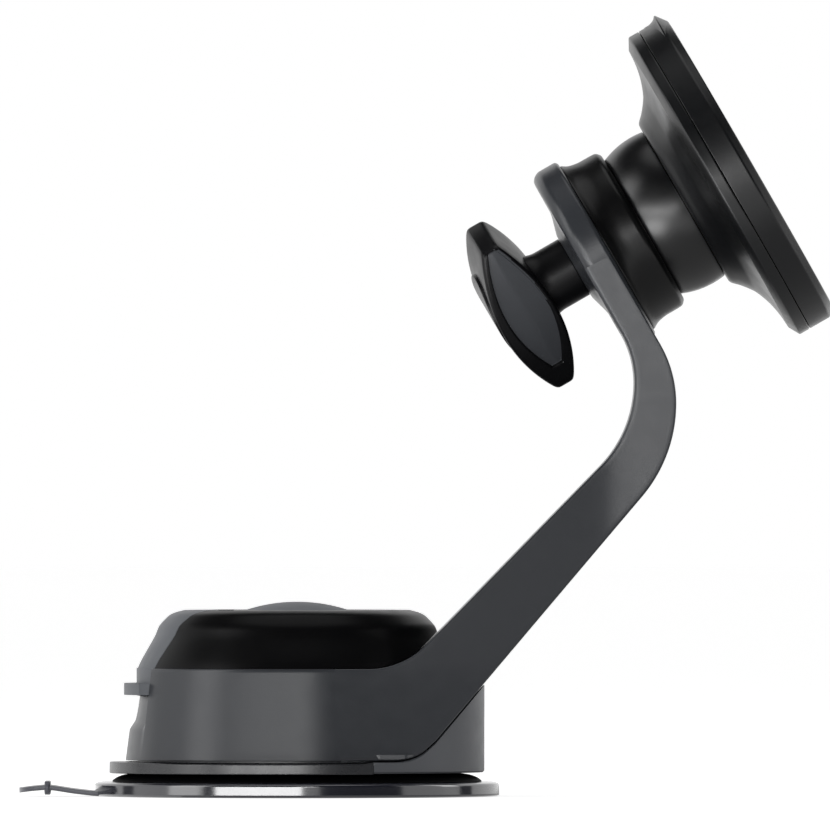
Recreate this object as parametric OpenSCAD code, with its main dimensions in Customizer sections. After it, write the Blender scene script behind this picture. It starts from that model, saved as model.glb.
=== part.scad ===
// Phone holder with a suction base, a curved arm and a magnetic head on a clamped half ball.
// The origin is the middle of the sticky pad's underside. +Z is up and the arm leans to +X.
// The head's own frame has its origin at the ball's centre and +Z along the head's axis.

/* [Sticky pad] */
// Outer radius of the pad
pad_r = 35.2; // [34:0.1:38]
// Thickness of the pad
pad_t = 2.57; // [2.2:0.01:3]
// Bevel round the pad's upper edge
pad_bevel = 0.9; // [0.4:0.1:1.4]
// Radius of the shallow hollow underneath
pad_hollow_r = 24; // [18:0.5:28]
// Depth of the shallow hollow underneath
pad_hollow_h = 1.2; // [0.4:0.1:1.5]
// Reach of the pull tab beyond the pad
tab_reach = 13.1; // [8:0.1:18]
// Width of the pull tab
tab_w = 13; // [8:0.5:18]
// Thickness of the pull tab
tab_t = 1.0; // [0.6:0.1:1.6]
// Lift of the pull tab's tip
tab_lift = 0.9; // [0.4:0.1:1.6]
// Height of the grip rib across the tab
tab_rib_h = 2.4; // [1.6:0.1:3]
// Length of the grip rib along the tab
tab_rib_t = 1.1; // [0.6:0.1:2]

/* [Suction cup] */
// Radius of the cup's flange
cup_r = 32.1; // [31:0.1:33.5]
// Radius where the flange starts to slope
cup_flat_r = 27.4; // [26:0.1:29]
// Thickness of the cup's flange
cup_t = 1.43; // [1.2:0.01:1.8]
// Height of the cup's edge at its rim
cup_edge_t = 0.15; // [0.1:0.05:0.4]
// Height of the locked cup's crown above its flange
cup_rise = 2.97; // [2.6:0.01:3.2]
// Thickness of the cup's crown
cup_crown_t = 1.8; // [1.2:0.1:2.2]
// Radius of the rigid insert in the crown
insert_r = 8; // [6:0.1:8.6]
// Thickness of the rigid insert
insert_t = 2; // [1.5:0.1:2.5]

/* [Base ring and chassis] */
// How far the base ring stands out beyond the band
ring_out = 2.85; // [2.2:0.05:4.2]
// How far the base ring reaches inside its screws
ring_inset = 3.1; // [2.6:0.1:3.4]
// Thickness of the base ring
ring_t = 2; // [1.6:0.1:2.6]
// Thickness of the chassis plate
plate_t = 2; // [1.5:0.1:2.5]
// Outer radius of the spring tower
tower_r = 12.5; // [12:0.1:13]
// Wall of the spring tower
tower_wall = 1.9; // [1:0.1:2]
// Height of the spring space inside the tower
tower_h = 9.5; // [9:0.1:10.5]
// Thickness of the tower's guide plate
guide_t = 2; // [1.5:0.1:2.6]
// Thickness of each lever ear
ear_t = 2; // [1.2:0.1:2.2]
// Radius round the pin at the top of an ear
ear_r = 2.2; // [2:0.1:2.3]
// Radius of a base screw's shank
screw_r = 1.4; // [1:0.1:1.5]
// Radius of a base screw's head
screw_head_r = 2.5; // [2:0.1:2.6]
// Height of a base screw's head
screw_head_t = 1.2; // [0.8:0.1:1.4]
// Length of a base screw's shank
screw_l = 11; // [8:0.5:12]
// Radius of the housing's screw bosses
boss_r = 3.2; // [3:0.1:3.4]
// Height of the housing's screw bosses
boss_h = 10; // [9:0.5:11]
// How deep the screw bosses sink into the band's wall
boss_bite = 0.5; // [0.3:0.1:0.7]

/* [Housing band] */
// Radius of the band at its upper edge
band_top_r = 28.2; // [28.1:0.1:28.8]
// How far the band's lower edge stands out beyond its upper edge
band_flare = 1.6; // [1:0.1:2]
// Height of the band
band_h = 16; // [15.5:0.1:17]
// Gap between the base ring and the band
band_gap = 0.27; // [0.2:0.01:0.6]
// Wall of the band at its upper edge
band_wall = 2.4; // [2.2:0.1:2.5]
// How far the rear block stands out beyond the band
block_out = 2.8; // [1.8:0.1:3.2]
// Wall of the rear block
block_wall = 2.7; // [2:0.1:2.8]
// Where the rear block begins along X
block_x = 13.4; // [13:0.1:15]
// Height of the rear block's low skirt
block_skirt_h = 3.45; // [2.6:0.05:4.5]

/* [Arm] */
// Centre of the foot's fillet along X
foot_x = 12.5; // [11.5:0.1:13.5]
// Radius of the fillet between band and arm
foot_fillet = 14; // [12:0.5:16]
// Slope of the arm's upper edge in degrees
arm_front_angle = 45.6; // [44.6:0.1:46.4]
// Height of the bend's centre above the band's top
bend_h = 49.6; // [48:0.1:51]
// Radius of the bend on the upper edge
bend_r = 20.8; // [19:0.1:22]
// Thickness of the arm at the bend
arm_bend_t = 7; // [6.4:0.1:7.6]
// Radius of the bend on the lower edge
bend_back_r = 24.2; // [23.6:0.1:25]
// How far the lower bend's centre lies below the upper one's
bend_back_drop = 3.6; // [3:0.1:4.2]
// Slope of the arm's lower edge in degrees
arm_back_angle = 49.8; // [49.2:0.1:50.4]
// How far inside the band's radius the arm's sides start
cheek_in = 1; // [0.6:0.1:1.4]
// Where the arm's sides leave the band along X
cheek_x = 7.7; // [6:0.1:9]
// Half the arm's width where its back starts to round
neck_w = 16.8; // [15:0.1:18]
// Wall of the hollow arm
arm_wall = 2.4; // [1.8:0.1:2.6]
// Thickness of the arm's back cover
cover_t = 1.8; // [1.2:0.1:2.4]

/* [Cap and lever] */
// Step from the band's upper edge in to the dome
dome_step = 0.5; // [0.3:0.1:1]
// Radius of the dome's flat top
dome_flat_r = 19.6; // [18.8:0.1:20]
// Height of the dome
dome_h = 10.1; // [10:0.1:10.6]
// Wall of the dome
dome_wall = 2; // [1.4:0.1:2]
// Radius of the round badge
badge_r = 8.96; // [7:0.1:9]
// Height of the round badge
badge_h = 1.44; // [0.8:0.01:2]
// Half the lever's width
lever_w = 12.4; // [11:0.1:12.5]
// Thickness of the lever
lever_t = 2.2; // [1.8:0.1:2.3]
// Reach of the finger tab beyond the band's upper edge
finger_out = 1.9; // [1.2:0.1:2.8]
// Thickness of the finger tab
finger_t = 2.05; // [1.6:0.05:2.4]
// Height of the lever's front wall above the finger tab
front_wall_h = 2.6; // [2.2:0.1:3]
// Distance of the lever's pin from the middle
lever_pin_x = 14.8; // [14.4:0.1:15.2]
// Radius of the lever's hub
hub_r = 5.6; // [5.4:0.1:5.8]
// Radius of the lever's pin
lever_pin_r = 1.5; // [1.2:0.1:1.6]
// Offset of the cam pin from the lever's pin
cam_e = 2.33; // [2.2:0.01:2.4]
// Radius of the cam pin
cam_r = 1.2; // [1:0.05:1.25]
// Lift of the lever in degrees
lever_lift = 65; // [50:1:70]
// Half the thickness of the stem's yoke
yoke_w = 2; // [1.5:0.1:2.2]
// Radius of the stem
stem_r = 3; // [2.6:0.1:3.4]
// Mean radius of the return spring
spring_r = 6.2; // [5.4:0.1:7]
// Radius of the spring's wire
wire_r = 0.6; // [0.4:0.05:0.7]
// Turns of the return spring
spring_turns = 4; // [3:1:4]

/* [Ball joint] */
// Distance of the ball's centre from the middle along X
ball_x = 65.2; // [64:0.1:66.5]
// Height of the ball's centre
ball_z = 101.9; // [100.5:0.1:103]
// Radius of the ball
ball_r = 14.56; // [14:0.02:14.8]
// Wall of the ball shell
ball_wall = 2.26; // [1.8:0.02:2.4]
// Radius of the opening at the ball's back
ball_open_r = 9; // [8.6:0.1:9.2]
// Rise of the head's axis above level in degrees
head_rise = 30; // [28:0.5:32]
// Wall of the arm's joint plate round the ball
slab_wall = 2.84; // [2.5:0.02:3.4]
// Wall of the joint plate behind the socket
slab_floor = 1.99; // [1.6:0.01:2.4]
// Thickness of the joint plate
slab_t = 6.55; // [6.2:0.05:7]
// Height of the knob boss behind the joint plate
knob_boss_h = 1.15; // [0.8:0.05:1.6]
// Radius of the knob boss at its end
knob_boss_r = 6.1; // [5.6:0.1:6.6]
// Radius of the knob boss at its root
knob_boss_root_r = 10.2; // [8:0.1:12]
// Wall of the socket round the ball
socket_wall = 0.74; // [0.6:0.02:1.4]
// Distance from the ball's centre to the socket's rim
socket_rim = 5.85; // [5.6:0.05:6.2]
// Radius of the clamp bolt
bolt_r = 2; // [1.6:0.1:2.2]
// Radius of the bolt's head
bolt_head_r = 3.5; // [3:0.1:3.8]
// Height of the bolt's head
bolt_head_t = 2; // [1.4:0.1:2]
// Thickness of the friction ring
friction_t = 0.95; // [0.7:0.05:1]
// Thickness of the ball's front wall
ball_front_t = 2.2; // [1.6:0.1:2.3]
// Radius of the stub axle
stub_r = 5; // [4:0.1:5.6]

/* [Wing knob] */
// Radius of the knob's neck
neck_r = 5.57; // [5:0.1:6]
// Length of the knob's neck
neck_l = 5.4; // [4.5:0.1:6]
// Thickness of the thrust washer
thrust_t = 0.6; // [0.4:0.05:0.9]
// Half the length of the wing
wing_l = 16.8; // [14:0.1:18]
// Depth of the wing at its middle
wing_d = 10.6; // [10:0.1:12]
// Depth of the wing at its tips
wing_tip_d = 2.9; // [2:0.1:3.6]
// Half the width of the wing at its middle
wing_w = 8.2; // [8:0.1:9]
// Half the width of the wing at its tips
wing_tip_w = 2.6; // [2:0.1:3.4]
// Depth of the finger dishes in the wing's sides
dish_d = 1.1; // [0.6:0.1:1.4]
// Radius of the knob's round cap
knob_cap_r = 7.6; // [6:0.1:7.8]
// Height that the knob's cap stands proud
knob_cap_h = 0.25; // [0.15:0.05:0.4]
// Turn of the wing about its axis in degrees
wing_turn = 12; // [0:1:30]
// Length of the knob's brass insert
brass_l = 7; // [5:0.1:8]
// Radius of the knob's brass insert
brass_r = 3.4; // [3:0.1:3.8]

/* [Magnetic head] */
// Radius of the head
head_r = 29.8; // [29:0.1:32]
// Distance from the ball's centre to the flare's lip
lip_z = 2.35; // [2.3:0.05:2.5]
// Depth of the flare
flare_h = 6.14; // [5.9:0.02:6.5]
// Distance from the ball's centre to the head's seam
seam_z = 10.49; // [10.3:0.01:10.9]
// Length of the front ring's straight side
side_h = 4; // [3.8:0.1:4.6]
// Depth of the front bevel
bevel_h = 1.34; // [1:0.02:1.6]
// Step of the front bevel inwards
bevel_in = 0.9; // [0.5:0.1:1.4]
// Width of the front rim round the pad
rim_w = 2.3; // [1.6:0.1:3]
// Thickness of the soft front pad
front_pad_t = 0.8; // [0.5:0.05:1]
// Distance from the head's side to the magnet ring
magnet_edge = 3.6; // [3.3:0.1:4.8]
// Distance from the heads of the head's screws to the magnet ring
magnet_clear = 1.6; // [0.8:0.1:2.6]
// Thickness of the magnets
magnet_t = 2.4; // [1.6:0.1:2.5]
// Number of magnet segments
magnet_n = 18; // [12:1:24]
// Gap between magnet segments in degrees
magnet_gap = 2; // [1:0.5:4]
// Thickness of the steel shield plate
shield_t = 0.8; // [0.5:0.05:0.9]
// Width of the small lip at the head's upper edge
lip_w = 8; // [4:0.5:12]
// How far the small lip stands out
lip_out = 1; // [0.5:0.1:1.5]
// Thickness of the small lip
lip_t = 0.65; // [0.4:0.05:1]

/* [Hidden] */
$fn = 96;

// Overrun of every cut
over = 1;
// Running clearance of pins and shafts, on the radius
run = 0.05;
// Clearance of a piece that sits on its neighbour
seat = 0.05;
// Clearance of fixed neighbours and of flat sides that move past each other
gap = 0.15;
// Side clearance of the lever in its recess
lever_gap = 0.25;
// Clearance of curved faces in the ball joint
ball_gap = 0.15;
// Clearance of the small screws in their bores, on the radius
thread_fit = 0.01;

// Heights up the base
cup_z = pad_t + gap / 5;
flange_z = cup_z + cup_t;
ring_z = flange_z;
plate_z = ring_z + ring_t;
band_z = plate_z + band_gap;
band_top = band_z + band_h;
crown_z = cup_z + cup_t + cup_rise;
stem_z = crown_z + insert_t;
tower_top = plate_z + plate_t + tower_h;
guide_z = tower_top;
tower_in_r = tower_r - tower_wall;
dome_top = band_top + dome_h;
block_z = ring_z + gap;
band_r = band_top_r + band_flare;
block_r = band_r + block_out;
ring_r = band_r + ring_out;
band_in_r = band_top_r - band_wall;
dome_r = band_top_r - dome_step;
screw_ring_r = band_in_r - boss_r + boss_bite;
ring_in_r = screw_ring_r - ring_inset;
cheek_w = band_r - cheek_in;

// Lever and cam
lever_pin_z = dome_top - hub_r;
finger_top = band_top - front_wall_h;
finger_z = finger_top - finger_t;
finger_r = band_top_r + finger_out;
recess_r = band_in_r - 2 * gap;
spigot_t = 1.3;
spigot_h = 5.6;
floor_t = 1.4;
floor_gap = 2 * gap;
wall_t = 1.2;
cam_x = -lever_pin_x + cam_e * cos(lever_lift / 2);
cam_z = lever_pin_z + cam_e * sin(lever_lift / 2);
cam_slot = cam_e * (1 - cos(lever_lift / 2));
cam_half = lever_w / 2;
cam_run = 0.08;
eye_wall = 1.2;
eye_r = cam_r + cam_run + eye_wall;
yoke_gap = 0.4;
// How far the flat of the lever reaches from its pin until it has risen above the dome
swing_r = hub_r / cos(lever_lift / 2) + gap;
ear_y = lever_w + lever_gap + wall_t + gap;

// Places of the base screws, as turns from +X in degrees
screw_angles = [45, 115, 245, 315];

// Rows of points on the dome, as shares of its height and of its sloping width
dome_shares = [[0, 1], [0.139, 0.921], [0.376, 0.753], [0.574, 0.617], [0.723, 0.543],
               [0.851, 0.4], [0.92, 0.3], [0.965, 0.17], [1, 0]];

// Directions in which the dome's wall grows inwards at its foot and at its flat top, in degrees
dome_foot_angle = 20;
dome_head_angle = 88;

// Arm outline, in the XZ plane
foot_c = [foot_x, band_top + foot_fillet];
bend_z = band_top + bend_h;
bend_x = foot_x + (foot_fillet - bend_r + (bend_z - foot_c[1]) * cos(arm_front_angle))
         / sin(arm_front_angle);
bend_c = [bend_x, bend_z];
back_c = [bend_x + bend_r + arm_bend_t - bend_back_r, bend_z - bend_back_drop];
back_low = [back_c[0] + (bend_back_r + (band_z - back_c[1]) * cos(arm_back_angle))
            / sin(arm_back_angle), band_z];
bend_end_angle = 47;
back_end_angle = 31;
bend_steps = 20;
cover_end_angle = 10;

// Head frame
head_axis = 90 - head_rise;
slab_shares = [[0, 0.922], [0.1, 0.954], [0.54, 1], [0.75, 1], [0.85, 0.954], [1, 0.9]];
socket_seat_r = ball_r - gap;
socket_floor = 1.75;
socket_bottom = ball_r + ball_gap + socket_floor;
slab_r = ball_r + slab_wall;
slab_back = socket_bottom + slab_floor;
slab_front = slab_back - slab_t;
socket_r = ball_r + socket_wall;
socket_shares = [[0, 0.985], [0.06, 1], [0.46, 1], [0.87, 0.985], [0.95, 0.95], [1, 0.895]];
socket_step = 1.9;
socket_z = slab_front - socket_step;
bolt_hole_r = bolt_r + gap;
ball_in_r = ball_r - ball_wall;
friction_r = ball_in_r - ball_gap;
dome_nut_r = friction_r - friction_t - ball_gap;
friction_from = 32;
friction_to = 68;
nut_angle = 57;
knob_z = slab_back + knob_boss_h;
neck_z = knob_z + thrust_t + gap;
wing_z = neck_z + neck_l;
wing_back = wing_z + wing_d;

// Magnetic head, along its axis
flare_shares = [[0, 0], [0.028, 0.079], [0.246, 0.172], [0.436, 0.272], [0.56, 0.358],
                [0.71, 0.53], [0.793, 0.709], [0.816, 0.868], [1, 1]];
lip_r = ball_r + gap;
head_hub_r = 9.5;
head_hub_z = 8.3;
head_wall = 2;
washer_r = 7.5;
washer_t = 1;
washer_z = head_hub_z + gap;
ball_screw_r = 1.5;
ball_screw_head_r = 3;
ball_screw_head_t = 1.2;
front_z = seam_z + side_h + bevel_h;
shield_z = seam_z + 1;
magnet_z = shield_z + shield_t + seat;
head_screw_r = 1.1;
head_screw_head_r = 2;
head_screw_head_t = 0.9;
head_boss_share = 0.152;
head_screw_ring_r = lerp(lip_r, head_r, head_boss_share);
magnet_r = head_r - magnet_edge;
magnet_in_r = head_screw_ring_r + head_screw_head_r + magnet_clear;
head_screw_n = 4;
head_boss_r = 2.6;
head_boss_z = lip_z + 0.72 * flare_h;
front_pad_r = head_r - bevel_in - rim_w;

function lerp(a, b, k) = a + (b - a) * k;
function arc(c, r, a, b, n) = [for (i = [0:n]) c + r * [cos(lerp(a, b, i / n)), sin(lerp(a, b, i / n))]];
function through(p, n) = concat(
    [for (i = [0:len(p) - 2]) for (k = [0:n - 1])
        let (a = p[max(i - 1, 0)], b = p[i], c = p[i + 1], d = p[min(i + 2, len(p) - 1)], t = k / n)
        0.5 * (2 * b + (c - a) * t + (2 * a - 5 * b + 4 * c - d) * t * t
               + (3 * b - a - 3 * c + d) * t * t * t)],
    [p[len(p) - 1]]);
function sagitta_r(chord, sag) = (chord * chord + sag * sag) / (2 * sag);
function head_point(z, x) = [ball_x + z * cos(head_rise) + x * sin(head_rise),
                             ball_z + z * sin(head_rise) - x * cos(head_rise)];

// Points on the dome, moved inwards by d
dome_rows = [for (s = dome_shares) [lerp(dome_flat_r, dome_r, s[1]), band_top + dome_h * s[0]]];
dome_curve = through(dome_rows, 2);
function dome_normal(i) =
    let (a = lerp(dome_foot_angle, dome_head_angle, i / (len(dome_curve) - 1)))
    [cos(a), sin(a)];
function dome_points(d) = [for (i = [0:len(dome_curve) - 1]) dome_curve[i] - d * dome_normal(i)];

// Upper edge of the arm from foot to joint, and lower edge, both grown outwards by s
function front_edge(s) = concat(
    arc(foot_c, foot_fillet - s, -90, -90 + arm_front_angle, bend_steps),
    arc(bend_c, bend_r - s, -90 + arm_front_angle, bend_end_angle, bend_steps));
function back_edge(s, end) = concat(
    [[back_low[0] + s / sin(arm_back_angle), back_low[1]]],
    arc(back_c, bend_back_r + s, -90 + arm_back_angle, end, bend_steps));
function reversed(v) = [for (i = [len(v) - 1:-1:0]) v[i]];

module at_head() {
    translate([ball_x, 0, ball_z]) rotate([0, head_axis, 0]) children();
}

// Puts a copy at each of the head's screws
module at_head_screws() {
    for (i = [0:head_screw_n - 1]) {
        rotate([0, 0, 360 * (i + 0.5) / head_screw_n]) translate([head_screw_ring_r, 0, 0]) children();
    }
}

module side_prism(points, w) {
    rotate([90, 0, 0]) linear_extrude(height = 2 * w, center = true) polygon(points);
}

module along_y(r, w) {
    rotate([90, 0, 0]) cylinder(h = 2 * w, r = r, center = true);
}

module tube(r, r_in, h) {
    difference() {
        cylinder(h = h, r = r);
        translate([0, 0, -over]) cylinder(h = h + 2 * over, r = r_in);
    }
}

module dome_solid(d) {
    rotate_extrude() polygon(concat([[0, band_top - d]], [[dome_points(d)[0][0], band_top - d]],
                                    dome_points(d), [[0, dome_points(d)[len(dome_curve) - 1][1]]]));
}

module dome_shell(d, t) {
    difference() {
        dome_solid(d);
        dome_solid(d + t);
        translate([0, 0, band_top - 2 * dome_h]) cylinder(h = 2 * dome_h, r = pad_r);
    }
}

// Everything with |y| < w and x from x0 to x1
module strip(x0, x1, w) {
    translate([x0, -w, -over]) cube([x1 - x0, 2 * w, dome_top + 2 * over]);
}

module arm_outline(s) {
    side_prism(concat([[block_x - foot_fillet / 2, back_low[1] - s]], back_edge(s, back_end_angle),
                      [head_point(-slab_front - slab_t / 3, slab_r * 0.85),
                       head_point(-slab_front - slab_t / 2, 0),
                       head_point(-slab_back, slab_r * 0.3)],
                      reversed(front_edge(s)), [[block_x - foot_fillet / 2, band_top + s]]),
               pad_r + over);
}

// Plan of the arm: straight sides that taper to the neck, then a rounded back
module arm_plan(s) {
    back_x = back_c[0] + bend_back_r;
    side_x = back_x - neck_w / 2;
    linear_extrude(height = ball_z) polygon(concat(
        [[cheek_x - over, -cheek_w - s], [side_x, -neck_w - s]],
        arc([side_x, -neck_w / 2], neck_w / 2 + s, -90, 0, bend_steps / 2),
        arc([side_x, neck_w / 2], neck_w / 2 + s, 0, 90, bend_steps / 2),
        [[side_x, neck_w + s], [cheek_x - over, cheek_w + s]]));
}

module band_cone(s) {
    translate([0, 0, band_z - s]) cylinder(h = band_h + s, r1 = band_r + s, r2 = band_top_r + s);
}

module sticky_pad() {
    color([0.62, 0.7, 0.78, 0.6]) {
        difference() {
            union() {
                rotate_extrude() polygon([[0, 0], [pad_r, 0], [pad_r, pad_t - pad_bevel],
                                          [pad_r - pad_bevel, pad_t], [0, pad_t]]);
                // The pull tab rises a little from the pad to its tip
                side_prism([[-pad_r + 2 * tab_t, 0], [-pad_r - tab_reach * 0.27, tab_lift * 0.4],
                            [-pad_r - tab_reach, tab_lift * 0.7],
                            [-pad_r - tab_reach, tab_lift * 0.7 + tab_t],
                            [-pad_r - tab_reach * 0.57, tab_lift + tab_t],
                            [-pad_r - tab_reach * 0.27, tab_lift * 0.4 + tab_t],
                            [-pad_r + 2 * tab_t, tab_t]], tab_w / 2);
                translate([-pad_r - tab_reach * 0.66, -tab_w / 2, tab_t * 0.3])
                    cube([tab_rib_t, tab_w, tab_rib_h]);
            }
            rotate_extrude() polygon([[0, -over], [pad_hollow_r, -over], [pad_hollow_r, 0],
                                      [pad_hollow_r * 0.7, pad_hollow_h * 0.75],
                                      [pad_hollow_r * 0.35, pad_hollow_h], [0, pad_hollow_h]]);
        }
    }
}

module suction_cup() {
    color([0.04, 0.04, 0.045]) rotate_extrude() polygon([
        [0, crown_z - cup_crown_t], [insert_r, crown_z - cup_crown_t],
        [ring_in_r - cup_t, cup_z], [cup_r, cup_z], [cup_r, cup_z + cup_edge_t],
        [cup_flat_r, flange_z], [ring_in_r, flange_z],
        [tower_in_r - 2 * gap, plate_z - gap], [insert_r + gap, crown_z], [0, crown_z]]);
}

module cup_insert() {
    color([0.75, 0.75, 0.72]) translate([0, 0, crown_z]) cylinder(h = insert_t, r = insert_r);
}

module pull_stem() {
    color([0.7, 0.71, 0.73]) {
        translate([0, 0, stem_z]) cylinder(h = cam_z - stem_z, r = stem_r);
        difference() {
            union() {
                translate([cam_x, 0, cam_z]) along_y(eye_r, yoke_w);
                translate([cam_x, -yoke_w, cam_z - eye_r])
                    cube([stem_r - cam_x, 2 * yoke_w, dome_top - dome_wall - 2 * gap - cam_z + eye_r]);
            }
            for (dx = [0, cam_slot]) {
                translate([cam_x + dx, 0, cam_z]) along_y(cam_r + cam_run, yoke_w + over);
            }
            translate([cam_x, -yoke_w - over, cam_z - cam_r - cam_run])
                cube([cam_slot, 2 * (yoke_w + over), 2 * (cam_r + cam_run)]);
        }
    }
}

// A coil of round wire, swept as one tube with flat ends
coil_rings = 8 * spring_turns;
wire_sides = 6;
coil_low = stem_z + wire_r + seat;
coil_high = guide_z - wire_r - seat;
function coil_point(i) = [spring_r * cos(360 * i / 8), spring_r * sin(360 * i / 8),
                          lerp(coil_low, coil_high, i / coil_rings)];
coil_least_gap = min([for (i = [0:coil_rings - 4]) for (k = [i + 4:coil_rings])
                      norm(coil_point(i) - coil_point(k))]) - 2 * wire_r;
echo(coil_least_gap = coil_least_gap);

module return_spring() {
    rings = [for (i = [0:coil_rings]) for (k = [0:wire_sides - 1])
        let (a = 360 * i / 8, b = 360 * k / wire_sides, rr = spring_r + wire_r * cos(b))
        [rr * cos(a), rr * sin(a), coil_point(i)[2] + wire_r * sin(b)]];
    faces = concat(
        [for (i = [0:coil_rings - 1]) for (k = [0:wire_sides - 1])
            [i * wire_sides + k, (i + 1) * wire_sides + k, (i + 1) * wire_sides + (k + 1) % wire_sides]],
        [for (i = [0:coil_rings - 1]) for (k = [0:wire_sides - 1])
            [i * wire_sides + k, (i + 1) * wire_sides + (k + 1) % wire_sides,
             i * wire_sides + (k + 1) % wire_sides]],
        [[for (k = [0:wire_sides - 1]) k]],
        [[for (k = [wire_sides - 1:-1:0]) coil_rings * wire_sides + k]]);
    color([0.75, 0.76, 0.78]) polyhedron(rings, faces);
}

module base_screw_holes(r, z, h) {
    for (a = screw_angles) {
        rotate([0, 0, a]) translate([screw_ring_r, 0, z]) cylinder(h = h, r = r);
    }
}

module base_ring() {
    color([0.3, 0.31, 0.33]) difference() {
        translate([0, 0, ring_z]) tube(ring_r, ring_in_r, ring_t);
        translate([block_x - gap, -pad_r, 0]) cube([pad_r, 2 * pad_r, band_z + over]);
        base_screw_holes(screw_head_r + gap, ring_z - over, over + screw_head_t + gap);
        base_screw_holes(screw_r + gap, ring_z, ring_t + over);
    }
}

module rear_block() {
    color([0.4, 0.41, 0.43]) difference() {
        intersection() {
            union() {
                translate([0, 0, block_z]) tube(block_r, ring_in_r, plate_z - block_z);
                difference() {
                    translate([0, 0, block_z]) tube(block_r, block_r - block_wall, block_skirt_h);
                    intersection() {
                        arm_outline(gap);
                        arm_plan(gap);
                    }
                }
                // Wall under the arm, up to the arm's lower edge
                intersection() {
                    translate([0, 0, block_z]) tube(block_r, block_r - block_wall, dome_top - block_z);
                    below_arm(gap);
                    arm_plan(0);
                }
            }
            strip(block_x, pad_r, pad_r);
        }
        base_screw_holes(screw_head_r + gap, ring_z - over, over + block_z - ring_z + screw_head_t);
        base_screw_holes(screw_r + gap, ring_z, ring_t + over);
    }
}

// All that lies below and behind the arm's lower edge, s away from it
module below_arm(s) {
    low = [back_low[0] + s / sin(arm_back_angle), back_low[1]];
    side_prism([[low[0], 0], low, low + [pad_r, pad_r * tan(arm_back_angle)], [low[0] + 2 * pad_r, 0]],
               pad_r);
}

module chassis() {
    color([0.72, 0.73, 0.75]) difference() {
        union() {
            translate([0, 0, plate_z]) tube(band_in_r - 2 * gap, tower_in_r, plate_t);
            translate([0, 0, plate_z]) tube(tower_r, tower_in_r, tower_top - plate_z);
            translate([0, 0, guide_z]) cylinder(h = guide_t, r = tower_r);
            for (s = [-1, 1]) {
                translate([0, s * (ear_y + ear_t / 2), 0]) {
                    translate([-lever_pin_x, 0, lever_pin_z]) along_y(ear_r, ear_t / 2);
                    translate([-lever_pin_x - ear_r, -ear_t / 2, plate_z])
                        cube([2 * ear_r, ear_t, lever_pin_z - plate_z]);
                }
            }
        }
        translate([0, 0, guide_z - over]) cylinder(h = guide_t + 2 * over, r = stem_r + run);
        translate([-lever_pin_x, 0, lever_pin_z]) along_y(lever_pin_r + run, pad_r);
        base_screw_holes(screw_r + gap, plate_z - over, plate_t + 2 * over);
    }
}

module base_screws() {
    color([0.6, 0.6, 0.62]) {
        base_screw_holes(screw_head_r, ring_z + gap, screw_head_t);
        base_screw_holes(screw_r, ring_z + gap, screw_l);
    }
}

module arm_housing() {
    color([0.27, 0.28, 0.3]) {
        difference() {
            union() {
                difference() {
                    band_cone(0);
                    translate([0, 0, band_z - over]) cylinder(h = band_h + 2 * over, r = band_in_r);
                    below_arm(-cover_t - gap);
                }
                difference() {
                    intersection() {
                        arm_outline(0);
                        arm_plan(0);
                    }
                    translate([0, 0, band_z - over])
                        cylinder(h = band_h + over - arm_wall, r = band_in_r);
                    translate([0, 0, band_z - over])
                        intersection() {
                            cylinder(h = band_h + 2 * over, r = band_in_r);
                            strip(-pad_r, foot_x, pad_r);
                        }
                    arm_hollow();
                }
                at_head() slab();
                for (a = screw_angles) {
                    rotate([0, 0, a]) translate([screw_ring_r, 0, plate_z + plate_t + gap])
                        cylinder(h = boss_h, r = boss_r);
                }
            }
            base_screw_holes(screw_r, plate_z, screw_l);
            lever_notch();
            finger_scoop();
            at_head() socket_seat();
        }
    }
}

// Hollow of the arm, open at its back and foot
module arm_hollow() {
    intersection() {
        side_prism(concat([[foot_x + arm_wall, 0], [back_low[0] + over, 0]],
                          back_edge(over, cover_end_angle),
                          reversed([for (p = front_edge(-arm_wall))
                              if (p[0] > foot_x + arm_wall && p[1] < bend_z) p]),
                          [[foot_x + arm_wall, band_top - arm_wall]]), pad_r);
        arm_plan(-arm_wall);
    }
}

module lever_notch() {
    translate([-pad_r, -lever_w - lever_gap, finger_z - gap])
        cube([pad_r - band_in_r / 2, 2 * (lever_w + lever_gap), band_h]);
}

// The scoop under the finger tab lets a finger reach behind it
module finger_scoop() {
    depth = band_r - band_top_r;
    intersection() {
        translate([0, 0, finger_z - 3.75 * depth]) rotate_extrude() polygon([
            [band_r * 2, -over], [band_r - depth * 0.35, 0], [band_top_r - depth * 0.1, depth],
            [band_top_r - depth * 0.5, 3.7 * depth], [band_top_r - depth * 0.5, 5 * depth],
            [band_r * 2, 5 * depth]]);
        strip(-pad_r, 0, lever_w + lever_gap);
    }
}

module slab() {
    rotate_extrude() polygon(concat(
        [[0, -knob_z], [knob_boss_r, -knob_z], [knob_boss_root_r, -slab_back]],
        [for (s = slab_shares) [slab_r * s[1], -slab_back + slab_t * s[0]]], [[0, -slab_front]]));
}

module socket_seat() {
    translate([0, 0, -socket_bottom]) cylinder(h = socket_bottom, r = socket_seat_r + seat);
    translate([0, 0, -knob_z - over]) cylinder(h = knob_z, r = bolt_hole_r);
}

module arm_back_cover() {
    color([0.2, 0.2, 0.22]) intersection() {
        side_prism(concat(back_edge(0, cover_end_angle - 3),
                          reversed(back_edge(-cover_t, cover_end_angle - 3))), pad_r);
        arm_plan(-arm_wall - gap);
        tube(2 * ball_z, band_in_r + gap, 2 * ball_z);
    }
}

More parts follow.
